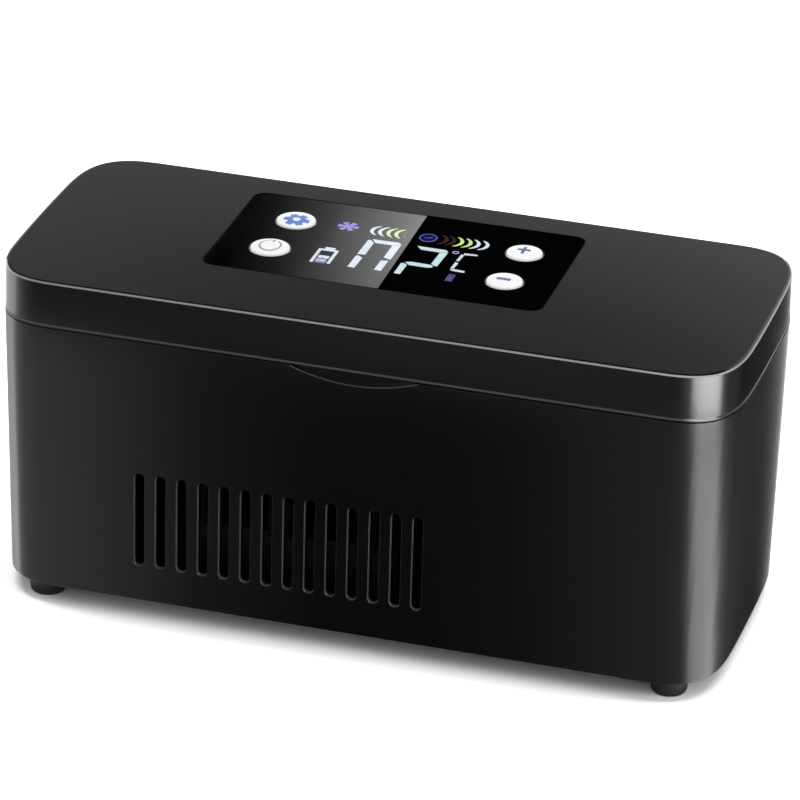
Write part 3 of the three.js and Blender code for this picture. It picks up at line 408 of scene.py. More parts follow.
# Forms, built in bmesh. at_z, at_y and at_x stand an outline up across an axis.


def at_z(outline, z):
    return [(x, y, z) for x, y in outline]


def at_y(outline, y):
    return [(x, y, z) for x, z in outline]


def at_x(outline, x):
    return [(x, y, z) for y, z in outline]


def loft(rings, closed=False):
    """Rings of as many points each, skinned one to the next, with flat ends or back to the first ring."""
    form = bmesh.new()
    rows = [[form.verts.new(point) for point in ring] for ring in rings]
    pairs = list(zip(rows, rows[1:])) + ([(rows[-1], rows[0])] if closed else [])
    for low, high in pairs:
        for i, corner in enumerate(low):
            j = (i + 1) % len(low)
            form.faces.new((corner, low[j], high[j], high[i]))
    if not closed:
        form.faces.new(list(reversed(rows[0])))
        form.faces.new(rows[-1])
    bmesh.ops.recalc_face_normals(form, faces=form.faces)
    return form


def prism(outline, bottom, top, stand=at_z):
    return loft([stand(outline, bottom), stand(outline, top)])


def mouth_loft(profile, closed=False):
    """A form that follows the chamber's mouth, from pairs of how far it lies outside it and its height."""
    return loft([at_z(mouth(grow), z) for grow, z in profile], closed)


def turned(profile, x, y, z=0.0, sides=48):
    """A profile of radius and height pairs, turned about an upright axis. Both its ends are capped."""
    return loft([at_z(circle(radius, x, y, sides), z + height) for radius, height in profile])


def rod(radius, bottom, top, place, sides=48):
    return prism(circle(radius, *place, sides), bottom, top)


def block(left, right, front, back, bottom, top):
    return prism([(left, front), (right, front), (right, back), (left, back)], bottom, top)


def together(forms):
    """Several forms as one. They don't touch each other."""
    whole = bmesh.new()
    for form in forms:
        spare = bpy.data.meshes.new("spare")
        form.to_mesh(spare)
        whole.from_mesh(spare)
        form.free()
        bpy.data.meshes.remove(spare)
    return whole


def join(*forms):
    return "UNION", together(forms)


def cut(*forms):
    return "DIFFERENCE", together(forms)


def combine(form, *steps):
    """Boolean steps in turn, each an operation and the form it uses."""
    made = [mesh_object("work", form)]
    for operation, tool in steps:
        made.append(mesh_object("tool", tool))
        step = made[0].modifiers.new("step", "BOOLEAN")
        step.operation = operation
        step.solver = "EXACT"
        step.object = made[-1]
    graph = bpy.context.evaluated_depsgraph_get()
    result = bmesh.new()
    result.from_mesh(made[0].evaluated_get(graph).to_mesh())
    for item in made:
        bpy.data.meshes.remove(item.data)
    bmesh.ops.remove_doubles(result, verts=result.verts, dist=0.0005)
    return result


def mesh_object(name, form):
    mesh = bpy.data.meshes.new(name)
    form.to_mesh(mesh)
    form.free()
    item = bpy.data.objects.new(name, mesh)
    bpy.context.scene.collection.objects.link(item)
    return item


def piece(name, form, finish, body, *nodes, slot=None, sharp=32, edge=None):
    """A finished piece of the case, riding on its body and standing for its CAD nodes. Faces marked 1 in
    the form take the edge finish, which on the body is a lighter grey that paints a highlight on the vents'
    rims."""
    item = mesh_object(name, form)
    item.data.transform(Matrix.Scale(MM, 4) @ Matrix.Translation((0, -BACKSET, 0)))
    item.data.shade_smooth()
    item.data.set_sharp_from_angle(angle=math.radians(sharp))
    item.data.materials.append(finish)
    if edge:
        item.data.materials.append(edge)
    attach(item, body)
    if nodes:
        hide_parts(*nodes)
    return item


# Body shell


def drawn_in(z):
    """How far the draft has drawn the ends of the body in at a height."""
    return END_DRAFT * (RIM_Z - z) / (RIM_Z - FLOOR_Z)


def body_ring(z, inset):
    return at_z(case_outline(inset, drawn_in(z)), z)


def body_outside():
    rings = []
    for step in range(9):
        angle = step / 8 * math.pi / 2
        height = FLOOR_Z + BOTTOM_RADIUS * (1 - math.cos(angle))
        rings.append(body_ring(height, BOTTOM_RADIUS * (1 - math.sin(angle))))
    rings += [body_ring(FLOOR_Z + BOTTOM_RADIUS + 1, 0), body_ring(RIM_Z - 1, 0)]
    rings += [body_ring(RIM_Z - RIM_EDGE, 0), body_ring(RIM_Z, RIM_EDGE), body_ring(RIM_Z, 1.2)]
    return loft(rings)


def slot_cutter(x, side):
    """A vent's cutter. Its ring part way down lets the outer part of the slot's wall take its own lighter
    finish, a painted highlight.
    """
    face = side * HALF_WIDTH
    middle = (VENT_TOP_Z + VENT_BOTTOM_Z) / 2
    height = VENT_TOP_Z - VENT_BOTTOM_Z
    rings = []
    for depth, grow in ((-0.5, 0.5), (0.06, 0), (SLOT_EDGE, 0), (SHELL_WALL + OVERRUN, 0)):
        outline = slot_outline(VENT_WIDTH + 2 * grow, height + 2 * grow, x, middle)
        rings.append(at_y(outline, face - side * depth))
    return loft(rings)


def vent_cutters():
    first = COOLER_X - (VENTS - 1) / 2 * VENT_PITCH
    return [slot_cutter(first + i * VENT_PITCH, side) for i in range(VENTS) for side in (-1, 1)]


def inlet_cutter():
    """The hole round the power inlet, flared at the wall's face."""
    rings = []
    for depth, grow in ((-0.5, 0.9), (0.4, 0), (4, 0)):
        rings.append(at_y(circle(INLET_RADIUS + grow, INLET_X, INLET_Z, 40), HALF_WIDTH - depth))
    return loft(rings)


def thumb_cutter():
    steps = 32
    rings = []
    for depth, grow in ((-0.5, 0.8), (0.25, 0), (THUMB_DEPTH, 0)):
        reach = THUMB_HALF_WIDTH + grow
        ring = []
        for step in range(steps + 1):
            share = 2 * step / steps - 1
            z = RIM_Z - THUMB_DROP * (1 - share**2) - grow
            ring.append((THUMB_X + share * reach, depth - HALF_WIDTH, z))
        ring.append((THUMB_X + reach, depth - HALF_WIDTH, RIM_Z + OVERRUN))
        ring.append((THUMB_X - reach, depth - HALF_WIDTH, RIM_Z + OVERRUN))
        rings.append(ring)
    return loft(rings)


def eyes_of(x):
    """The two body eyes beside a lid eye, as left and right ends."""
    near = LID_EYE / 2 + EYE_GAP
    return [(x - near - BODY_EYE, x - near), (x + near, x + near + BODY_EYE)]


body_eyes = [eye for x in HINGE_XS for eye in eyes_of(x)]
lid_eyes = [(x - LID_EYE / 2, x + LID_EYE / 2) for x in HINGE_XS]


def along_x(radius, left, right, sides=32):
    return prism(circle(radius, HINGE_Y, HINGE_Z, sides), left, right, at_x)


def knuckle(eye, up):
    """A round eye whose web runs up or down the rear wall, drawn as one outline."""
    points = []
    for step in range(17):
        turn = math.radians(-180 + 210 * step / 16)
        away = up * EYE_RADIUS * math.sin(turn)
        points.append((HINGE_Y + EYE_RADIUS * math.cos(turn), HINGE_Z + away))
    points.append((HALF_WIDTH, HINGE_Z + up * WEB_HEIGHT))
    points.append((HALF_WIDTH - WEB_DEPTH, HINGE_Z + up * WEB_HEIGHT))
    points.append((HALF_WIDTH - WEB_DEPTH, HINGE_Z + up * 0.2))
    return prism(points, *eye, at_x)


def hinge_steps(own_eyes, other_eyes, up):
    """Room for the eyes of the other half, then this half's own eyes and the bores of their pins."""
    room = EYE_RADIUS + EYE_RELIEF
    reliefs = [along_x(room, left - EYE_GAP, right + EYE_GAP) for left, right in other_eyes]
    eyes = [knuckle(eye, up) for eye in own_eyes]
    bores = [along_x(PIN_BORE_RADIUS, left - OVERRUN, right + OVERRUN, 24) for left, right in own_eyes]
    return [cut(*reliefs), join(*eyes), cut(*bores)]


def floor_steps():
    """The ledge over the base plate, with the plate's opening, screw bosses, board posts and ribs."""
    low = PLATE_TOP_Z - EMBED
    under = FLOOR_Z - OVERRUN
    board_screws = at_corners(BOARD_SCREWS, BOARD_X)
    raised, bores = [], []
    for place in at_corners(BASE_SCREWS):
        raised.append(rod(BASE_BOSS_RADIUS, low, BASE_BOSS_TOP_Z, place, 32))
        bores.append(rod(SCREW_BORE_RADIUS, PLATE_TOP_Z - OVERRUN, BASE_BOSS_TOP_Z - OVERRUN, place, 20))
    for place in board_screws:
        raised.append(rod(BOARD_POST_RADIUS, low, BOARD_BOTTOM_Z, place, 24))
        bores.append(rod(SCREW_BORE_RADIUS, BOARD_BORE_Z, BOARD_BOTTOM_Z + OVERRUN, place, 20))
    for x, y in at_corners((RIB_X, RIB_Y)):
        left, right = sorted((x, math.copysign(HALF_LENGTH - SHELL_WALL, x)))
        raised.append(block(left, right, y - RIB_THICKNESS / 2, y + RIB_THICKNESS / 2, low, SINK_TOP_Z))
    for place in at_corners(FEET):
        bores.append(rod(FOOT_PEG_RADIUS + FIT_GAP, under, PLATE_TOP_Z + OVERRUN, place, 20))
    return [
        join(prism(plate_outline(LEDGE_WIDTH), low, LEDGE_TOP_Z)),
        cut(prism(plate_outline(-LEDGE_WIDTH), under, LEDGE_TOP_Z + OVERRUN)),
        join(*raised),
        cut(prism(plate_outline(FIT_GAP), under, PLATE_TOP_Z)),
        cut(*bores),
    ]


def mark_slot_edges(shell):
    """Marks the outer part of the walls of the vents and the inlet, for the lighter finish that paints a
    highlight on them.
    """
    for face in shell.faces:
        middle = face.calc_center_median()
        near_face = 0.01 < HALF_WIDTH - abs(middle.y) < SLOT_EDGE - 0.01
        in_vented_part = abs(middle.x) < 70 and middle.z < 50
        if near_face and in_vented_part and abs(face.normal.y) < 0.95:
            face.material_index = 1


def make_body():
    inside = loft([body_ring(PLATE_TOP_Z, SHELL_WALL), body_ring(RIM_Z + OVERRUN, SHELL_WALL)])
    openings = cut(*vent_cutters(), inlet_cutter(), thumb_cutter())
    hinges = hinge_steps(body_eyes, lid_eyes, -1)
    shell = combine(body_outside(), cut(inside), *floor_steps(), openings, *hinges)
    mark_slot_edges(shell)
    return shell


piece("body_shell", make_body(), satin_black, "base", "outer_shell", slot="shell", edge=rim_highlight_grey)


# Lid


# The lid's outside, as pairs of height and inset. A fine bead runs round its lower edge, and a narrow
# bright facet round its top.
LID_PROFILE = (
    (80.8, 1.2), (80.7, 0.1), (80.76, 0.02), (80.84, 0), (81.05, 0), (81.55, 0.2), (82.6, 0.2),
    (91.8, 0.2), (93.02, 0.2), (93.4, 0.58), (93.6, 1.14), (93.6, 2.4),
)


def lid_ring(z, inset):
    return at_z(case_outline(inset), z)


def cap_holes():
    """Cutters for the caps' holes, long enough for the lid's skin and for the window."""
    return [rod(radius + CAP_GAP, SKIN_Z - OVERRUN, LID_TOP_Z, (x, y)) for x, y, radius in CAPS.values()]


def lid_screw_bores():
    low = LID_BOTTOM_Z - OVERRUN
    top = LID_BOTTOM_Z + SCREW_REACH + OVERRUN
    return [rod(SCREW_BORE_RADIUS, low, top, place, 20) for place in at_corners(LID_SCREWS)]


def make_lid():
    inside = loft([lid_ring(LID_BOTTOM_Z - OVERRUN, LID_WALL), lid_ring(SKIN_Z, LID_WALL)])
    root = SKIN_Z + EMBED
    raised = [rod(LID_BOSS_RADIUS, LINER_TOP_Z, root, place, 32) for place in at_corners(LID_SCREWS)]
    for place in at_corners(CONTROL_POSTS, PANEL_X, PANEL_Y):
        raised.append(rod(CONTROL_POST_RADIUS, CONTROL_BOARD_TOP_Z, root, place, 24))
    recess = []
    for z, flare in ((PANEL_FLOOR_Z, 0), (LID_TOP_Z + 0.5, 0.02)):
        recess.append(at_z(panel_outline(PANEL_GAP + flare, PANEL_CORNER + flare), z))
    view = prism(rounded(VIEW_LENGTH, VIEW_WIDTH, VIEW_CORNER, VIEW_X, PANEL_Y), SKIN_Z - OVERRUN, LID_TOP_Z)
    steps = [cut(inside), join(*raised), cut(loft(recess)), cut(view), cut(*cap_holes(), *lid_screw_bores())]
    outside = loft([lid_ring(z, inset) for z, inset in LID_PROFILE])
    return combine(outside, *steps, *hinge_steps(lid_eyes, body_eyes, 1))


piece("lid_cover", make_lid(), lid_black, "lid", "lid_shell", slot="shell", sharp=14)


def make_window():
    sheet = []
    for z, grow in ((PANEL_FLOOR_Z, 0), (93.42, 0), (93.48, -0.03), (WINDOW_Z, -0.1), (WINDOW_Z, -1)):
        sheet.append(at_z(panel_outline(grow, PANEL_CORNER + grow), z))
    return combine(loft(sheet), cut(*cap_holes()))


piece("display_window", make_window(), window_black, "lid", "panel_window", slot="panel", sharp=12)


# Buttons: a domed cap with a soft rolled edge, a flange below the skin and a stem


def dome(share):
    """The height of a cap's top over the lid's top face, a share of its radius out from its middle."""
    return CAP_RISE - (CAP_RISE - CAP_EDGE_RISE) * share**2


def make_cap(x, y, radius):
    profile = [(1.5, -2.7), (1.5, -0.8), (radius - 1, -0.8), (radius - 1, -3.2), (radius + 1.1, -3.2)]
    profile += [(radius + 1.1, -2.4), (radius, -2.4)]
    profile += [(radius, -0.02), (radius - 0.05, 0.1), (radius - 0.14, 0.19)]
    shares = [0.96, 0.9, 0.84] + [0.78 * (1 - step / 10) for step in range(10)]
    profile += [(radius * share, dome(share)) for share in shares]
    return turned(profile, x, y, LID_TOP_Z, 64)


for name, (x, y, radius) in CAPS.items():
    button = f"{name}_button"
    piece(f"{name}_cap", make_cap(x, y, radius), cap_white, button, button, slot="cap")


# Feet: rubber, with a ring groove in the sole


FOOT_PROFILE = (
    (0.4, 0.6), (2.2, 0.6), (2.5, 0), (4.1, 0), (4.45, 0.12), (4.66, 0.4), (4.75, 0.8),
    (5.2, 4.7), (5.2, FLOOR_Z), (FOOT_PEG_RADIUS, FLOOR_Z), (FOOT_PEG_RADIUS, 7),
)

for corner, place in zip(CORNERS, at_corners(FEET)):
    foot = turned(FOOT_PROFILE, *place, sides=56)
    piece(f"{corner}_rubber", foot, soft_rubber, "base", f"{corner}_foot", slot="rubber")


# Chamber: tray, deck, and the lid's liner and seal


def make_tray():
    floor = TRAY_BOTTOM_Z + TRAY_WALL
    lip = FLANGE_TOP_Z - TRAY_WALL
    profile = [(TRAY_WALL, TRAY_BOTTOM_Z), (TRAY_WALL, lip), (TRAY_FLANGE, lip), (TRAY_FLANGE, FLANGE_TOP_Z)]
    profile += [(0, FLANGE_TOP_Z), (0, FLANGE_TOP_Z - 1), (0, floor + TRAY_FOLD + 1)]
    for step in range(7):
        angle = step / 6 * math.pi / 2
        height = floor + TRAY_FOLD * (1 - math.sin(angle))
        profile.append((-TRAY_FOLD * (1 - math.cos(angle)), height))
    profile.append((-3.5, floor))
    return mouth_loft(profile)


piece("cooling_tray", make_tray(), tray_metal, "base", "cold_chamber", slot="tray")


def magnet_pocket(bottom, top):
    return rod(MAGNET_POCKET_RADIUS, bottom, top, (THUMB_X, MAGNET_Y), 32)


def make_deck():
    rim = case_outline(SHELL_WALL + FIT_GAP, drawn_in(FLANGE_TOP_Z))
    well = mouth_loft(((0, 75), (0, 77.8), (0.15, 78.2), (0.4, 78.35), (1.6, 79.5)))
    return combine(prism(rim, FLANGE_TOP_Z, DECK_TOP_Z), cut(well), cut(magnet_pocket(77.2, 79)))


piece("deck_ring", make_deck(), liner_grey, "base", "top_deck", slot="liner")


def make_liner():
    cover = prism(case_outline(LID_WALL + FIT_GAP), LID_BOTTOM_Z, LINER_TOP_Z)
    bowl = mouth_loft(((-3.4, 75.4), (-2.9, 75.52), (-2.56, 75.8), (-2.42, 76.2), (-1.5, 81.6)))
    hollow = mouth_loft(((-4.1, 77), (-3.1, 83.4)))
    return combine(cover, join(bowl), cut(hollow), cut(*lid_screw_bores(), magnet_pocket(79.8, 82)))


piece("liner_cover", make_liner(), liner_grey, "lid", "lid_liner", slot="liner")

SEAL_PROFILE = (
    (2, 80.8), (6, 80.8), (6, 79.3), (5.85, 78.95), (5.5, 78.7), (4.7, 78.7), (4.3, 79.3),
    (3.7, 79.3), (3.3, 78.7), (2.5, 78.7), (2.15, 78.95), (2, 79.3),
)
seal = mouth_loft(SEAL_PROFILE, closed=True)
piece("liner_seal", seal, seal_rubber, "lid", "lid_gasket", slot="rubber")


# Screws, whose heads face down and have a crossed recess


def make_screw(place, bearing, reach):
    """bearing is the height at which the head bears, and reach the shank's length above it."""
    profile = ((0.2, reach), (1.25, reach - 0.8), (1.25, 0), (2.4, 0), (2.4, -0.8), (2.2, -1.1))
    profile += ((1.9, -1.26), (1.5, -1.3))
    x, y = place
    low, high = bearing - 1.6, bearing - 0.55
    cross = block(x - 1.3, x + 1.3, y - 0.22, y + 0.22, low, high)
    across = block(x - 0.22, x + 0.22, y - 1.3, y + 1.3, low, high)
    return combine(turned(profile, x, y, bearing, 32), cut(cross), cut(across))


SCREWS = {
    "base_screw": (at_corners(BASE_SCREWS), PLATE_BEARING_Z, SCREW_REACH, "base"),
    "fan_screw": (at_corners(FAN_SCREWS, COOLER_X), PLATE_BEARING_Z, FAN_SCREW_REACH, "base"),
    "lid_screw": (at_corners(LID_SCREWS), LID_BOTTOM_Z, SCREW_REACH, "lid"),
}
for i, corner in enumerate(CORNERS):
    for kind, (places, bearing, reach, body) in SCREWS.items():
        name = f"{kind}_{corner}"
        head = make_screw(places[i], bearing, reach)
        piece(f"{name}_head", head, screw_metal, body, name, slot="steel")


# Carried-over CAD pieces take their finishes

steel_pieces = ["block_screw_left", "block_screw_right", "hinge_pin_left", "hinge_pin_right"]
steel_pieces += ["temperature_probe", *(f"board_screw_{i}" for i in range(1, 5))]
finishes = {
    under_black: ["base_plate"],
    fan_black: ["fan_frame", "fan_rotor", "dc_jack"],
    black_metal: ["heat_sink"],
    module_white: ["peltier_module"],
    tray_metal: ["cold_block"],
    screw_metal: steel_pieces,
    foam_white: ["chamber_insulation", "lid_foam"],
    magnet_metal: ["deck_magnet", "lid_magnet"],
    board_green: ["main_board", "control_board"],
    cell_blue: ["battery_pack"],
    window_black: ["display_module"],
    switch_black: [f"{name}_switch" for name in CAPS],
}
for finish, names in finishes.items():
    for name in names:
        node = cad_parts[name]
        if node.material_slots:
            for slot in node.material_slots:
                slot.material = finish
        else:
            node.data.materials.append(finish)


# Signs on the display: lit cells just proud of the window, drawn on the lid's plan


ARC_ROW_Y = 18.3
SNOWFLAKE_X = -19.7
MODE_X = 2.45


def cell(*corners, rise=0.02):
    return prism(corners, WINDOW_Z - 0.01, WINDOW_Z + rise)


def bar(left, right, low, high):
    return cell((left, low), (right, low), (right, high), (left, high))


def arc_outline(x, y, radius, first, last, width, taper=0.0, steps=24, tall=1.0):
    """A curved stroke that thins towards its ends."""
    outer, inner = [], []
    for step in range(steps + 1):
        turn = math.radians(first + (last - first) * step / steps)
        half = width / 2 * (1 - taper * (2 * step / steps - 1) ** 2)
        outer.append((x + (radius + half) * math.cos(turn), y + tall * (radius + half) * math.sin(turn)))
        inner.append((x + (radius - half) * math.cos(turn), y + tall * (radius - half) * math.sin(turn)))
    return outer + inner[::-1]


def arc(*sizes, **shape):
    return cell(*arc_outline(*sizes, **shape))


def sign(name, forms, finish):
    piece(name, together(forms), finish, "lid", slot="panel", sharp=60)


cold_white = lit("cold_white", (0.76, 0.83, 0.95), 0.87)
pale_lavender = lit("pale_lavender", (0.5, 0.5, 0.86), 0.9)
pale_cyan = lit("pale_cyan", (0.66, 0.87, 0.94), 0.88)
lavender = lit("lavender", (0.3, 0.27, 0.76), 0.9)
dusk_violet = lit("dusk_violet", (0.13, 0.125, 0.33), 0.9)
deep_violet = lit("deep_violet", (0.12, 0.115, 0.4), 0.9)
night_blue = lit("night_blue", (0.004, 0.004, 0.085), 0.9)
lime = lit("lime", (0.58, 0.83, 0.28), 0.95)
ember = lit("ember", (0.052, 0.017, 0.02), 0.9)
faint_rose = lit("faint_rose", (0.15, 0.04, 0.045), 0.8)
slate_blue = lit("slate_blue", (0.018, 0.032, 0.07), 0.9, gloss=0.05)

sign("digit_left", [
    cell((-11.2, 12.5), (-9.8, 10.4), (-5.0, 10.4), (-2.9, 11.5), (-3.9, 12.6)),
    cell((-12.3, 2.1), (-10.2, 2.3), (-10.2, 10.3), (-11.5, 11.9), (-12.2, 11.6)),
    cell((-12.4, -6.5), (-10.5, -6.6), (-10.3, 0.1), (-11.7, 1.2), (-12.3, 0.9)),
    cell((-5.1, 2.2), (-3.0, 1.4), (-3.0, 11.2), (-5.1, 10.2)),
    cell((-5.3, -6.0), (-3.4, -6.3), (-3.3, 0.5), (-5.2, 0.1)),
], cold_white)
sign("digit_right", [
    cell((1.2, 12.3), (2.7, 10.4), (8.0, 10.2), (10.0, 11.1), (9.1, 12.2)),
    cell((7.8, 2.4), (8.9, 1.5), (9.7, 1.5), (10.0, 10.8), (8.0, 10.0)),
    cell((1.0, 1.3), (2.4, -0.1), (7.4, -0.2), (8.6, 0.3), (8.7, 1.2), (7.7, 1.8), (2.6, 2.0)),
    cell((0.2, -6.4), (1.9, -6.4), (2.0, -0.3), (0.9, 0.6), (0.2, 0.3)),
], pale_cyan)
sign("unit_c", [
    cell((14.3, 10.7), (18.0, 11.3), (17.7, 12.1), (14.1, 11.9)),
    cell((13.4, 6.7), (14.2, 6.4), (14.5, 10.5), (13.6, 11.0)),
    cell((13.3, 1.3), (14.2, 1.6), (14.4, 5.2), (13.5, 5.7)),
    cell((13.4, 0.7), (14.0, 0.1), (17.2, -0.2), (17.6, 0.5), (17.1, 1.0), (14.2, 1.3)),
], cold_white)
sign("degree_ring", [arc(11.9, 11.6, 0.75, 0, 359.9, 0.32)], pale_lavender)
sign("battery_outline", [
    bar(-22.8, -21.9, -6.8, 1.2),
    bar(-18.2, -17.3, -6.5, 1.2),
    bar(-22.8, -17.3, 1.25, 2.3),
    bar(-21.3, -18.5, 2.35, 3.6),
], cold_white)
sign("battery_empty_cell", [bar(-21.7, -18.4, -1.4, 0.9)], slate_blue)
sign("battery_full_cell", [bar(-21.5, -18.6, -3.6, -1.9)], cold_white)
sign("battery_low_cell", [bar(-21.5, -18.7, -5.9, -4.1)], pale_lavender)
sign("battery_foot_cell", [bar(-21.6, -18.6, -6.9, -6.0)], dusk_violet)
flake = [cell(*circle(1.3, SNOWFLAKE_X, ARC_ROW_Y, 16))]
for turn in range(0, 360, 60):
    flake.append(arc(SNOWFLAKE_X, ARC_ROW_Y, 2.0, turn - 20, turn + 20, 1.8, taper=0.3, steps=4))
sign("snowflake", flake, lavender)


def swept(xs, facing):
    """Crescents that open away from their tips, at the places of their outermost points."""
    radius = 3.3
    middle = 90 + facing * -90
    first, last = middle - 63, middle + 63
    return [arc(x - facing * radius, ARC_ROW_Y, radius, first, last, 1.02, taper=0.7) for x in xs]


sign("cooling_arcs_cold", swept((-13.0, -10.8), -1), cold_white)
sign("cooling_arcs_mild", swept((-8.5, -6.3), -1), lime)
sign("cooling_arc_warm", swept((-4.2,), -1), faint_rose)
sign("warming_arcs_warm", swept((7.4, 9.5), 1), ember)
sign("warming_arcs_mild", swept((11.7, 14.0), 1), lime)
sign("warming_arcs_cold", swept((16.2, 18.6), 1), cold_white)
sign("mode_ring", [arc(MODE_X, ARC_ROW_Y, 2.25, 0, 359.9, 0.45, tall=1.08)], deep_violet)
sign("mode_field", [cell(*circle(2.0, MODE_X, ARC_ROW_Y, 32))], night_blue)
hands = [(1.4, 18.3), (1.45, 17.9), (2.55, 17.9), (3.8, 18.75), (3.45, 19.15), (2.4, 18.35)]
sign("mode_mark", [cell(*hands, rise=0.03)], deep_violet)
sign("small_battery", [
    bar(14.0, 14.3, -6.6, -2.5),
    bar(15.5, 15.8, -6.7, -2.6),
    bar(14.0, 15.8, -2.45, -2.1),
    bar(14.5, 15.3, -6.4, -2.8),
], dusk_violet)


# Signs on the caps: ink cut from a thin skin over the dome


INK_SUNK = 0.02
INK_PROUD = 0.025


def inked(name, cap, forms, finish):
    x, y, radius = CAPS[cap]
    shares = [0.05, 0.2, 0.35, 0.5, 0.65, 0.8]
    skin = [(radius * share, dome(share) - INK_SUNK) for share in shares]
    skin += [(radius * share, dome(share) + INK_PROUD) for share in reversed(shares)]
    ink = combine(turned(skin, x, y, LID_TOP_Z, 64), ("INTERSECT", together(forms)))
    piece(name, ink, finish, f"{cap}_button", slot="cap", sharp=60)


def stamp(outline):
    """An outline as a tall stamp that cuts ink from the skin."""
    return prism(outline, LID_TOP_Z - 1, LID_TOP_Z + 2)


def stroke(start, end, width):
    start, end = Vector(start), Vector(end)
    way = (end - start).normalized() * width / 2
    side = Vector((-way.y, way.x))
    lead = way * 0.6
    points = (start - side - lead, end - side + lead, end + side + lead, start + side - lead)
    return stamp([tuple(point) for point in points])


def gear(x, y):
    points = []
    for tooth in range(6):
        for turn, radius in ((-23, 2.5), (-15, 3.6), (15, 3.6), (23, 2.5)):
            angle = math.radians(tooth * 60 + turn)
            points.append((x + radius * math.cos(angle), y + radius * math.sin(angle)))
    return combine(stamp(points), cut(prism(circle(1.05, x, y, 32), LID_TOP_Z - 2, LID_TOP_Z + 3)))


ink_blue = printed("ink_blue", (0.12, 0.22, 0.6, 1))
ink_grey = printed("ink_grey", (0.27, 0.29, 0.36, 1))
ink_dark = printed("ink_dark", (0.13, 0.16, 0.2, 1))
ink_slate = printed("ink_slate", (0.08, 0.14, 0.3, 1))
ink_violet = printed("ink_violet", (0.17, 0.17, 0.32, 1))

x, y, _ = CAPS["settings"]
inked("settings_gear", "settings", [gear(x + 0.4, y - 0.9)], ink_blue)
x, y, _ = CAPS["power"]
ring = arc_outline(x, y + 0.1, 2.8, 100, 426, 0.45, steps=48, tall=1.2)
inked("power_ring", "power", [stamp(ring)], ink_grey)
inked("power_tick", "power", [stroke((x + 0.3, y + 3.4), (x + 0.1, y + 2.4), 0.6)], ink_dark)
x, y, _ = CAPS["plus"]
upright = stroke((x - 0.2, y - 1.8), (x - 0.2, y + 2.2), 0.85)
cross = combine(stroke((x - 1.65, y + 0.3), (x + 1.25, y + 0.3), 1.1), join(upright))
inked("plus_mark", "plus", [cross], ink_slate)
x, y, _ = CAPS["minus"]
inked("minus_mark", "minus", [stroke((x - 1.65, y - 0.4), (x + 1.3, y - 0.4), 1.4)], ink_violet)


# Camera: its place in metres, and its turn to the side, dip and roll in degrees

CAMERA_PLACE = Vector((0.335536, -1.185606, 0.647551))
CAMERA_TURN = 15.785
CAMERA_DIP = 25.769
CAMERA_ROLL = 1.586

camera = bpy.data.objects.new("camera", bpy.data.cameras.new("camera"))
bpy.context.scene.collection.objects.link(camera)
camera.data.lens = 231.902
camera.data.sensor_width = 36
camera.data.clip_start = 0.05
turn = Matrix.Rotation(math.radians(CAMERA_TURN), 4, "Z")
turn @= Matrix.Rotation(math.radians(90 - CAMERA_DIP), 4, "X")
turn @= Matrix.Rotation(math.radians(CAMERA_ROLL), 4, "Z")
camera.matrix_world = Matrix.Translation(CAMERA_PLACE) @ turn
bpy.context.scene.camera = camera


# Floor, world and lamps


def staged(name, points, faces, finish):
    form = bmesh.new()
    corners = [form.verts.new(point) for point in points]
    for face in faces:
        form.faces.new([corners[i] for i in face])
    item = mesh_object(name, form)
    item.data.materials.append(finish)
    return item


def background_rays(paint):
    """1 for the rays that show the background: straight to the camera, or thrown back or let through."""
    camera_ray, glossy_ray, let_through = (
        paint.node("LightPath", out=f"Is {kind} Ray") for kind in ("Camera", "Glossy", "Transmission")
    )
    return paint.maths("MINIMUM", camera_ray + glossy_ray + let_through, 1)


FLOOR_REACH = 4
SOFT_LIGHT = 0.39

floor_paint = Paint(bpy.data.materials.new("pale_floor"))
floor_paint.nodes.remove(floor_paint.shader)
seen = floor_paint.node("LightPath", out="Is Camera Ray")
matte = floor_paint.node("BsdfDiffuse", None, {"Color": floor_paint.mix(seen, grey(0.8), grey(2.0))})
floor_paint.feed(floor_paint.nodes["Material Output"].inputs["Surface"], matte)
floor_points = [(side_x * FLOOR_REACH, side_y * FLOOR_REACH, 0) for side_x, side_y in CORNERS.values()]
staged("floor", floor_points, [(0, 1, 3, 2)], floor_paint.owner)

world = Paint(bpy.data.worlds.new("soft_white"))
bpy.context.scene.world = world.owner
background = world.nodes["Background"]
background.inputs["Color"].default_value = grey(1.0)
world.feed(background.inputs["Strength"], SOFT_LIGHT + background_rays(world) * (1 - SOFT_LIGHT))


def softbox(name, place, aim, size, power):
    data = bpy.data.lights.new(name, "AREA")
    data.shape = "RECTANGLE"
    data.size, data.size_y = size
    data.energy = power
    lamp = bpy.data.objects.new(name, data)
    lamp.location = place
    lamp.rotation_euler = (Vector(aim) - Vector(place)).to_track_quat("-Z", "Y").to_euler()
    lamp.visible_glossy = False
    bpy.context.scene.collection.objects.link(lamp)


softbox("overhead", (0, 0.105, 1.8), (0, 0.105, 0), (2.2, 0.3), 21)
softbox("right_fill", (1.5, -0.3, 0.7), (0, 0, 0.05), (0.5, 0.5), 4)


# Cards that only show in the gloss, as a photographer stands black and white card round a glossy black
# case. Each lies where a face of the case shows it to the camera, and follows that face's outline.

UP = Vector((0, 0, 1))
# The line along the walls: the step between its points, where it starts and ends, and how far the draft has
# drawn the body's ends in at the height that it is taken from
LINE_STEP = 0.8
LINE_START = 30
LINE_END = 306
BODY_DRAW = 0.6


def glow_paint(name):
    """Light whose level each point of a card gives."""
    paint = Paint(bpy.data.materials.new(name))
    paint.nodes.remove(paint.shader)
    level = paint.node("Attribute", {"attribute_name": "glow"}, out="Color")
    light = paint.node("Emission", None, {"Color": level})
    paint.feed(paint.nodes["Material Output"].inputs["Surface"], light)
    return paint.owner


card_glow = glow_paint("card_glow")


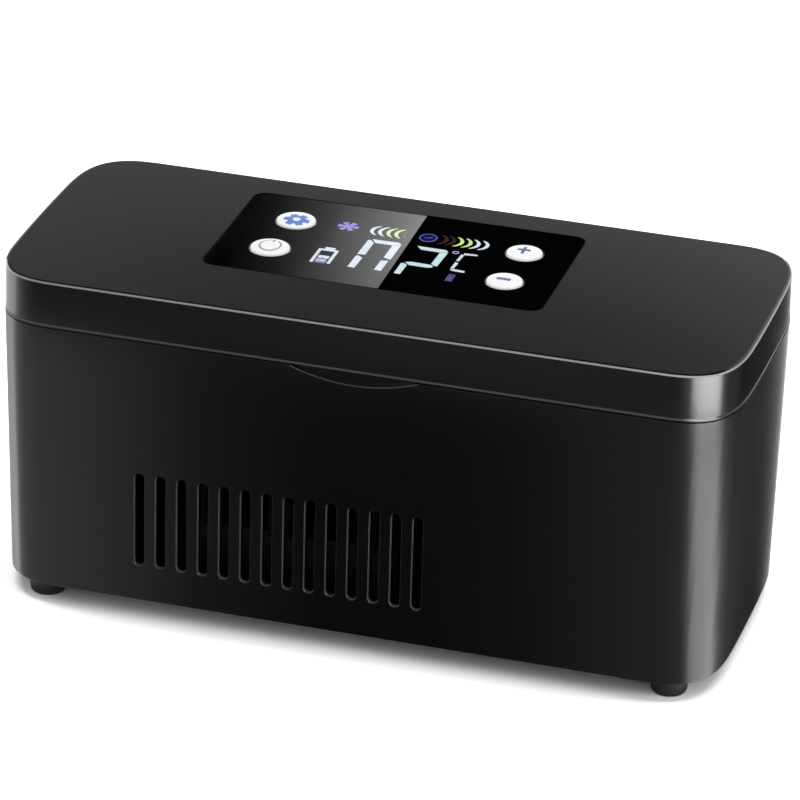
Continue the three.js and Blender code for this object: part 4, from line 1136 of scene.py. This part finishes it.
def card(name, rows, levels):
    """A card through rows of points, each point with its own glow."""
    across = len(rows[0])
    points = [point for row in rows for point in row]
    faces = []
    for i in range(len(rows) - 1):
        for j in range(across - 1):
            k = i * across + j
            faces.append((k, k + 1, k + across + 1, k + across))
    item = staged(name, points, faces, card_glow)
    glow = item.data.attributes.new("glow", "FLOAT", "POINT")
    glow.data.foreach_set("value", [level for row in levels for level in row])
    for kind in ("camera", "diffuse", "transmission", "volume_scatter", "shadow"):
        setattr(item, f"visible_{kind}", False)


def between(stops, place):
    """The level at a place between stops of place and level."""
    for (here, level), (there, other) in zip(stops, stops[1:]):
        if place <= there:
            share = max(0.0, (place - here) / (there - here))
            return level + (other - level) * share
    return stops[-1][1]


def thrown(point, outward):
    """The way in which a glossy face throws the camera's sight line on."""
    sight = (point - CAMERA_PLACE).normalized()
    return sight - 2 * sight.dot(outward) * outward


def placed(x, y, z):
    """A place drawn in millimetres, in the metres of the frame."""
    return Vector((x, y - BACKSET, z)) * MM


def front_line(drawn):
    """Points along the walls that the camera sees, from the left end round the front to the right
    end: each with its outward way and how far along it lies, in millimetres."""
    points = [Vector((x, y - BACKSET, 0)) for x, y in case_outline(0, drawn)]
    left_end = Vector((-HALF_LENGTH, -BACKSET, 0))
    start = min(range(len(points)), key=lambda i: (points[i] - left_end).length)
    points = points[start:] + points[:start]
    dense = []
    for here, there in zip(points, points[1:] + points[:1]):
        count = max(1, int((there - here).length / LINE_STEP))
        dense += [here.lerp(there, i / count) for i in range(count)]
    line, far = [], 0.0
    for i, point in enumerate(dense):
        before, after = dense[i - 1], dense[(i + 1) % len(dense)]
        way = (after - before).normalized()
        if i:
            far += (point - before).length
        line.append((point * MM, Vector((way.y, -way.x, 0)), far))
    return [entry for entry in line if LINE_START < entry[2] < LINE_END]


# Where along the walls each level of glow comes, at the foot of the body and at its rim
BODY_GLOW = (
    (30, 30, 0.4), (36, 36.2, 0.7), (37.2, 37.6, 1.0), (38.8, 39.4, 1.75), (40.3, 41.2, 2.6),
    (40.9, 41.9, 1.3), (42.3, 43.3, 0.95), (44, 44.8, 0.78), (60, 60, 0.58), (72, 71, 0.43),
    (93, 91, 0.17), (126, 124, 0.045), (158, 156, 0.045), (180, 177, 0.085), (201, 198, 0.2),
    (221, 217.5, 0.33), (225.1, 221.7, 0.5), (226.5, 223.4, 1.05), (227.4, 224.2, 4.4),
    (229, 225.6, 4.9), (233.9, 228.7, 4.6), (235.4, 230.4, 3.5), (236.5, 231.3, 1.1),
    (239, 234, 0.42), (243, 238, 0.15), (252, 248, 0.07), (274, 270, 0.045), (282, 277, 0.045),
    (288, 282.5, 0.11), (294, 289, 0.48), (298, 295, 1.2), (303, 303, 2),
)
LID_GLOW = (
    (30, 0.6), (36, 1.0), (38, 1.4), (40, 2.1), (42.2, 2.9), (42.9, 1.2), (44.6, 0.7),
    (46.6, 0.34), (49, 0.15), (70, 0.16), (110, 0.24), (140, 0.3), (190, 0.3), (219, 0.25),
    (220.6, 0.6), (222.3, 1.6), (223.2, 11), (226, 13.3), (228.9, 12.6), (230.2, 9), (231.1, 1.6),
    (232.8, 0.35), (240, 0.06), (255, 0.02), (272, 0.02), (282, 0.05), (288, 0.15), (294, 0.6),
    (298, 0.8),
)
# How strong the body's strip at the right corner is up the wall. Its upper part also shows the lid's strip.
STRIP_RISE = ((0, 0.82), (20, 0.92), (50, 1.05), (65, 1.05), (80.6, 0.62))
# The table card lies this far over the floor, in metres. Each of its rows is the part that a height shows.
TABLE_RISE = 0.0006
TABLE_HEIGHTS = (0.8, 20, 50, 65, 80.6, 82.4, 88, 96, 160, 300)


def body_stops(height):
    rise = height / RIM_Z
    strip = between(STRIP_RISE, height)
    stops = []
    for foot, rim, level in BODY_GLOW:
        in_strip = level > 2 and foot > 200
        stops.append((foot + (rim - foot) * rise, level * (strip if in_strip else 1)))
    return stops


def lid_stops(height):
    """The strip's left edge leans outward below the lid's top."""
    lean = max(0.0, LID_TOP_Z - height) * 0.09
    return [(far + (lean if 220 < far < 227 else 0), level) for far, level in LID_GLOW]


def card_along_walls(name, drawn, rows):
    """A card that follows the walls. Each of its rows has the height and upward tilt of the part that
    shows it, its levels, and a function for how far away it lies."""
    line = front_line(drawn)
    points, levels = [], []
    for height, tilt, stops, away in rows:
        lean = math.radians(tilt)
        row = []
        for point, outward, _ in line:
            start = point + Vector((0, 0, height * MM))
            way = thrown(start, outward * math.cos(lean) + UP * math.sin(lean))
            row.append(start + way * away(start, way))
        points.append(row)
        levels.append([between(stops, far) for _, _, far in line])
    card(name, points, levels)


def down_to_table(start, way):
    return (TABLE_RISE - start.z) / way.z


table_rows = []
for height in TABLE_HEIGHTS:
    stops = body_stops(height) if height < LID_BOTTOM_Z else lid_stops(height)
    table_rows.append((height, 0, stops, down_to_table))
card_along_walls("table_card", BODY_DRAW, table_rows)

# Levels along x at each y of the lid's top
LID_TOP_GLOW = {
    60: ((-98, 0.36), (-60, 0.36), (0, 0.37), (60, 0.44), (98, 0.54)),
    40: ((-98, 0.36), (-60, 0.355), (0, 0.365), (60, 0.43), (98, 0.51)),
    20: ((-98, 0.36), (-60, 0.325), (-48, 0.3), (48, 0.3), (60, 0.33), (98, 0.44)),
    0: ((-98, 0.345), (-60, 0.27), (-48, 0.245), (48, 0.25), (60, 0.27), (98, 0.355)),
    -20: ((-98, 0.32), (-60, 0.235), (-20, 0.185), (20, 0.185), (60, 0.205), (98, 0.27)),
    -42: ((-98, 0.29), (-60, 0.23), (-20, 0.17), (20, 0.16), (60, 0.16), (98, 0.23)),
    -90: ((-98, 0.27), (-60, 0.19), (-20, 0.135), (20, 0.125), (60, 0.13), (98, 0.2)),
    -700: ((-98, 0.1), (98, 0.1)),
}


REAR_CARD_Y = 130
REAR_CARD_XS = (-220, -140, -98, -80, -60, -40, -20, 0, 20, 40, 60, 80, 98, 106)


def stand_behind():
    """An upright card behind the case that the lid's top shows."""
    points = []
    for y in LID_TOP_GLOW:
        row = []
        for x in REAR_CARD_XS:
            start = placed(x, y, LID_TOP_Z)
            way = thrown(start, UP)
            row.append(start + way * ((placed(0, REAR_CARD_Y, 0).y - start.y) / way.y))
        points.append(row)
    card("rear_card", points, [[between(stops, x) for x in REAR_CARD_XS] for stops in LID_TOP_GLOW.values()])


stand_behind()

# The window throws back a dark card whose left part fades up to a sharp bright edge. It hangs close over
# the window and has its outline. The levels are given for its back, its middle and its front.
PANEL_GLOW = (
    (-45, 0.05, 0.03, 0.0), (-42, 0.07, 0.04, 0.01), (-36, 0.17, 0.12, 0.04),
    (-30, 0.31, 0.22, 0.08), (-27, 0.38, 0.28, 0.13), (-24.5, 0.51, 0.37, 0.19),
    (-20, 0.74, 0.66, 0.33), (-15.5, 0.97, 0.9, 0.48), (-8, 1.44, 1.25, 0.83),
    (-4, 1.76, 1.6, 1.05), (-1.34, 1.9, 1.85, 1.12), (-1.26, 0, 0, 0), (38, 0, 0, 0),
)
PANEL_CARD_RISE = 0.35 * MM


def lay_over_panel():
    ends = [math.radians(turn) for turn in (90, 66, 58, 45, 30, 15, 0)]
    bend = PANEL_WIDTH / 2 - PANEL_CORNER
    spans = [(bend + PANEL_CORNER * math.sin(a), PANEL_CORNER * (math.cos(a) - 1)) for a in ends]
    spans += [(8, 0), (-8, 0)] + [(-up, inward) for up, inward in reversed(spans)]
    rows, levels = [], []
    for up, inward in spans:
        y = PANEL_Y + up
        reach = PANEL_LENGTH / 2 + inward
        # The bright edge and what lies right of it lean to the left towards the back
        leaning = [x - (0.018 * y if x > -2 else 0) for x, *_ in PANEL_GLOW[:-1]]
        row = []
        for x in (PANEL_X - reach, *leaning, PANEL_X + reach):
            start = placed(x, y, WINDOW_Z)
            way = thrown(start, UP)
            row.append(start + way * (PANEL_CARD_RISE / way.z))
        rows.append(row)
        shades = []
        for _, back, middle, front in PANEL_GLOW:
            shades.append(between(((-15, front), (15, middle), (32, back)), y))
        # A thin line along the front edge stays nearly black
        front_edge = y < PANEL_Y - bend - PANEL_CORNER * math.sin(math.radians(60))
        levels.append([0.02, *(shade * (0.05 if front_edge else 1) for shade in shades)])
    card("panel_card", rows, levels)


lay_over_panel()

# Narrow cards follow the lid's edges, close by: one draws the bright line along its top edge, and one the
# line along its lower bead
EDGE_GLOW = (
    (30, 3), (36, 4.5), (42, 5.5), (48, 5), (60, 5.5), (120, 6.2), (200, 6.8), (220, 9),
    (228, 11), (234, 9), (240, 4.2), (250, 3.2), (306, 2.8),
)
BEAD_GLOW = (
    (30, 1.6), (40, 2.2), (43, 1.4), (60, 1.3), (215, 1.4), (223, 1.8), (224, 11), (230, 11),
    (231.4, 1.4), (240, 0.9), (306, 1.0),
)


def hang_along_lid(name, away, edges, stops):
    """edges are the card's two, each as the height and upward tilt of the facet that shows it."""
    card_along_walls(name, 0, [(*edge, stops, lambda *_: away * MM) for edge in edges])


hang_along_lid("edge_card", 2, ((LID_TOP_Z - 0.6, 33), (LID_TOP_Z - 0.1, 57)), EDGE_GLOW)
hang_along_lid("bead_card", 200, ((LID_BOTTOM_Z + 0.5, 13), (LID_BOTTOM_Z + 0.5, 34)), BEAD_GLOW)

# A dark card overhead, behind the case: where its front and back edges lie, in metres
overhead = [[(-0.6, y, 0.7), (0.6, y, 0.7)] for y in (0.08, 0.6)]
card("overhead_dark", overhead, [[0.05, 0.05], [0.05, 0.05]])

bpy.context.scene.view_settings.view_transform = "Standard"
bpy.context.view_layer.update()
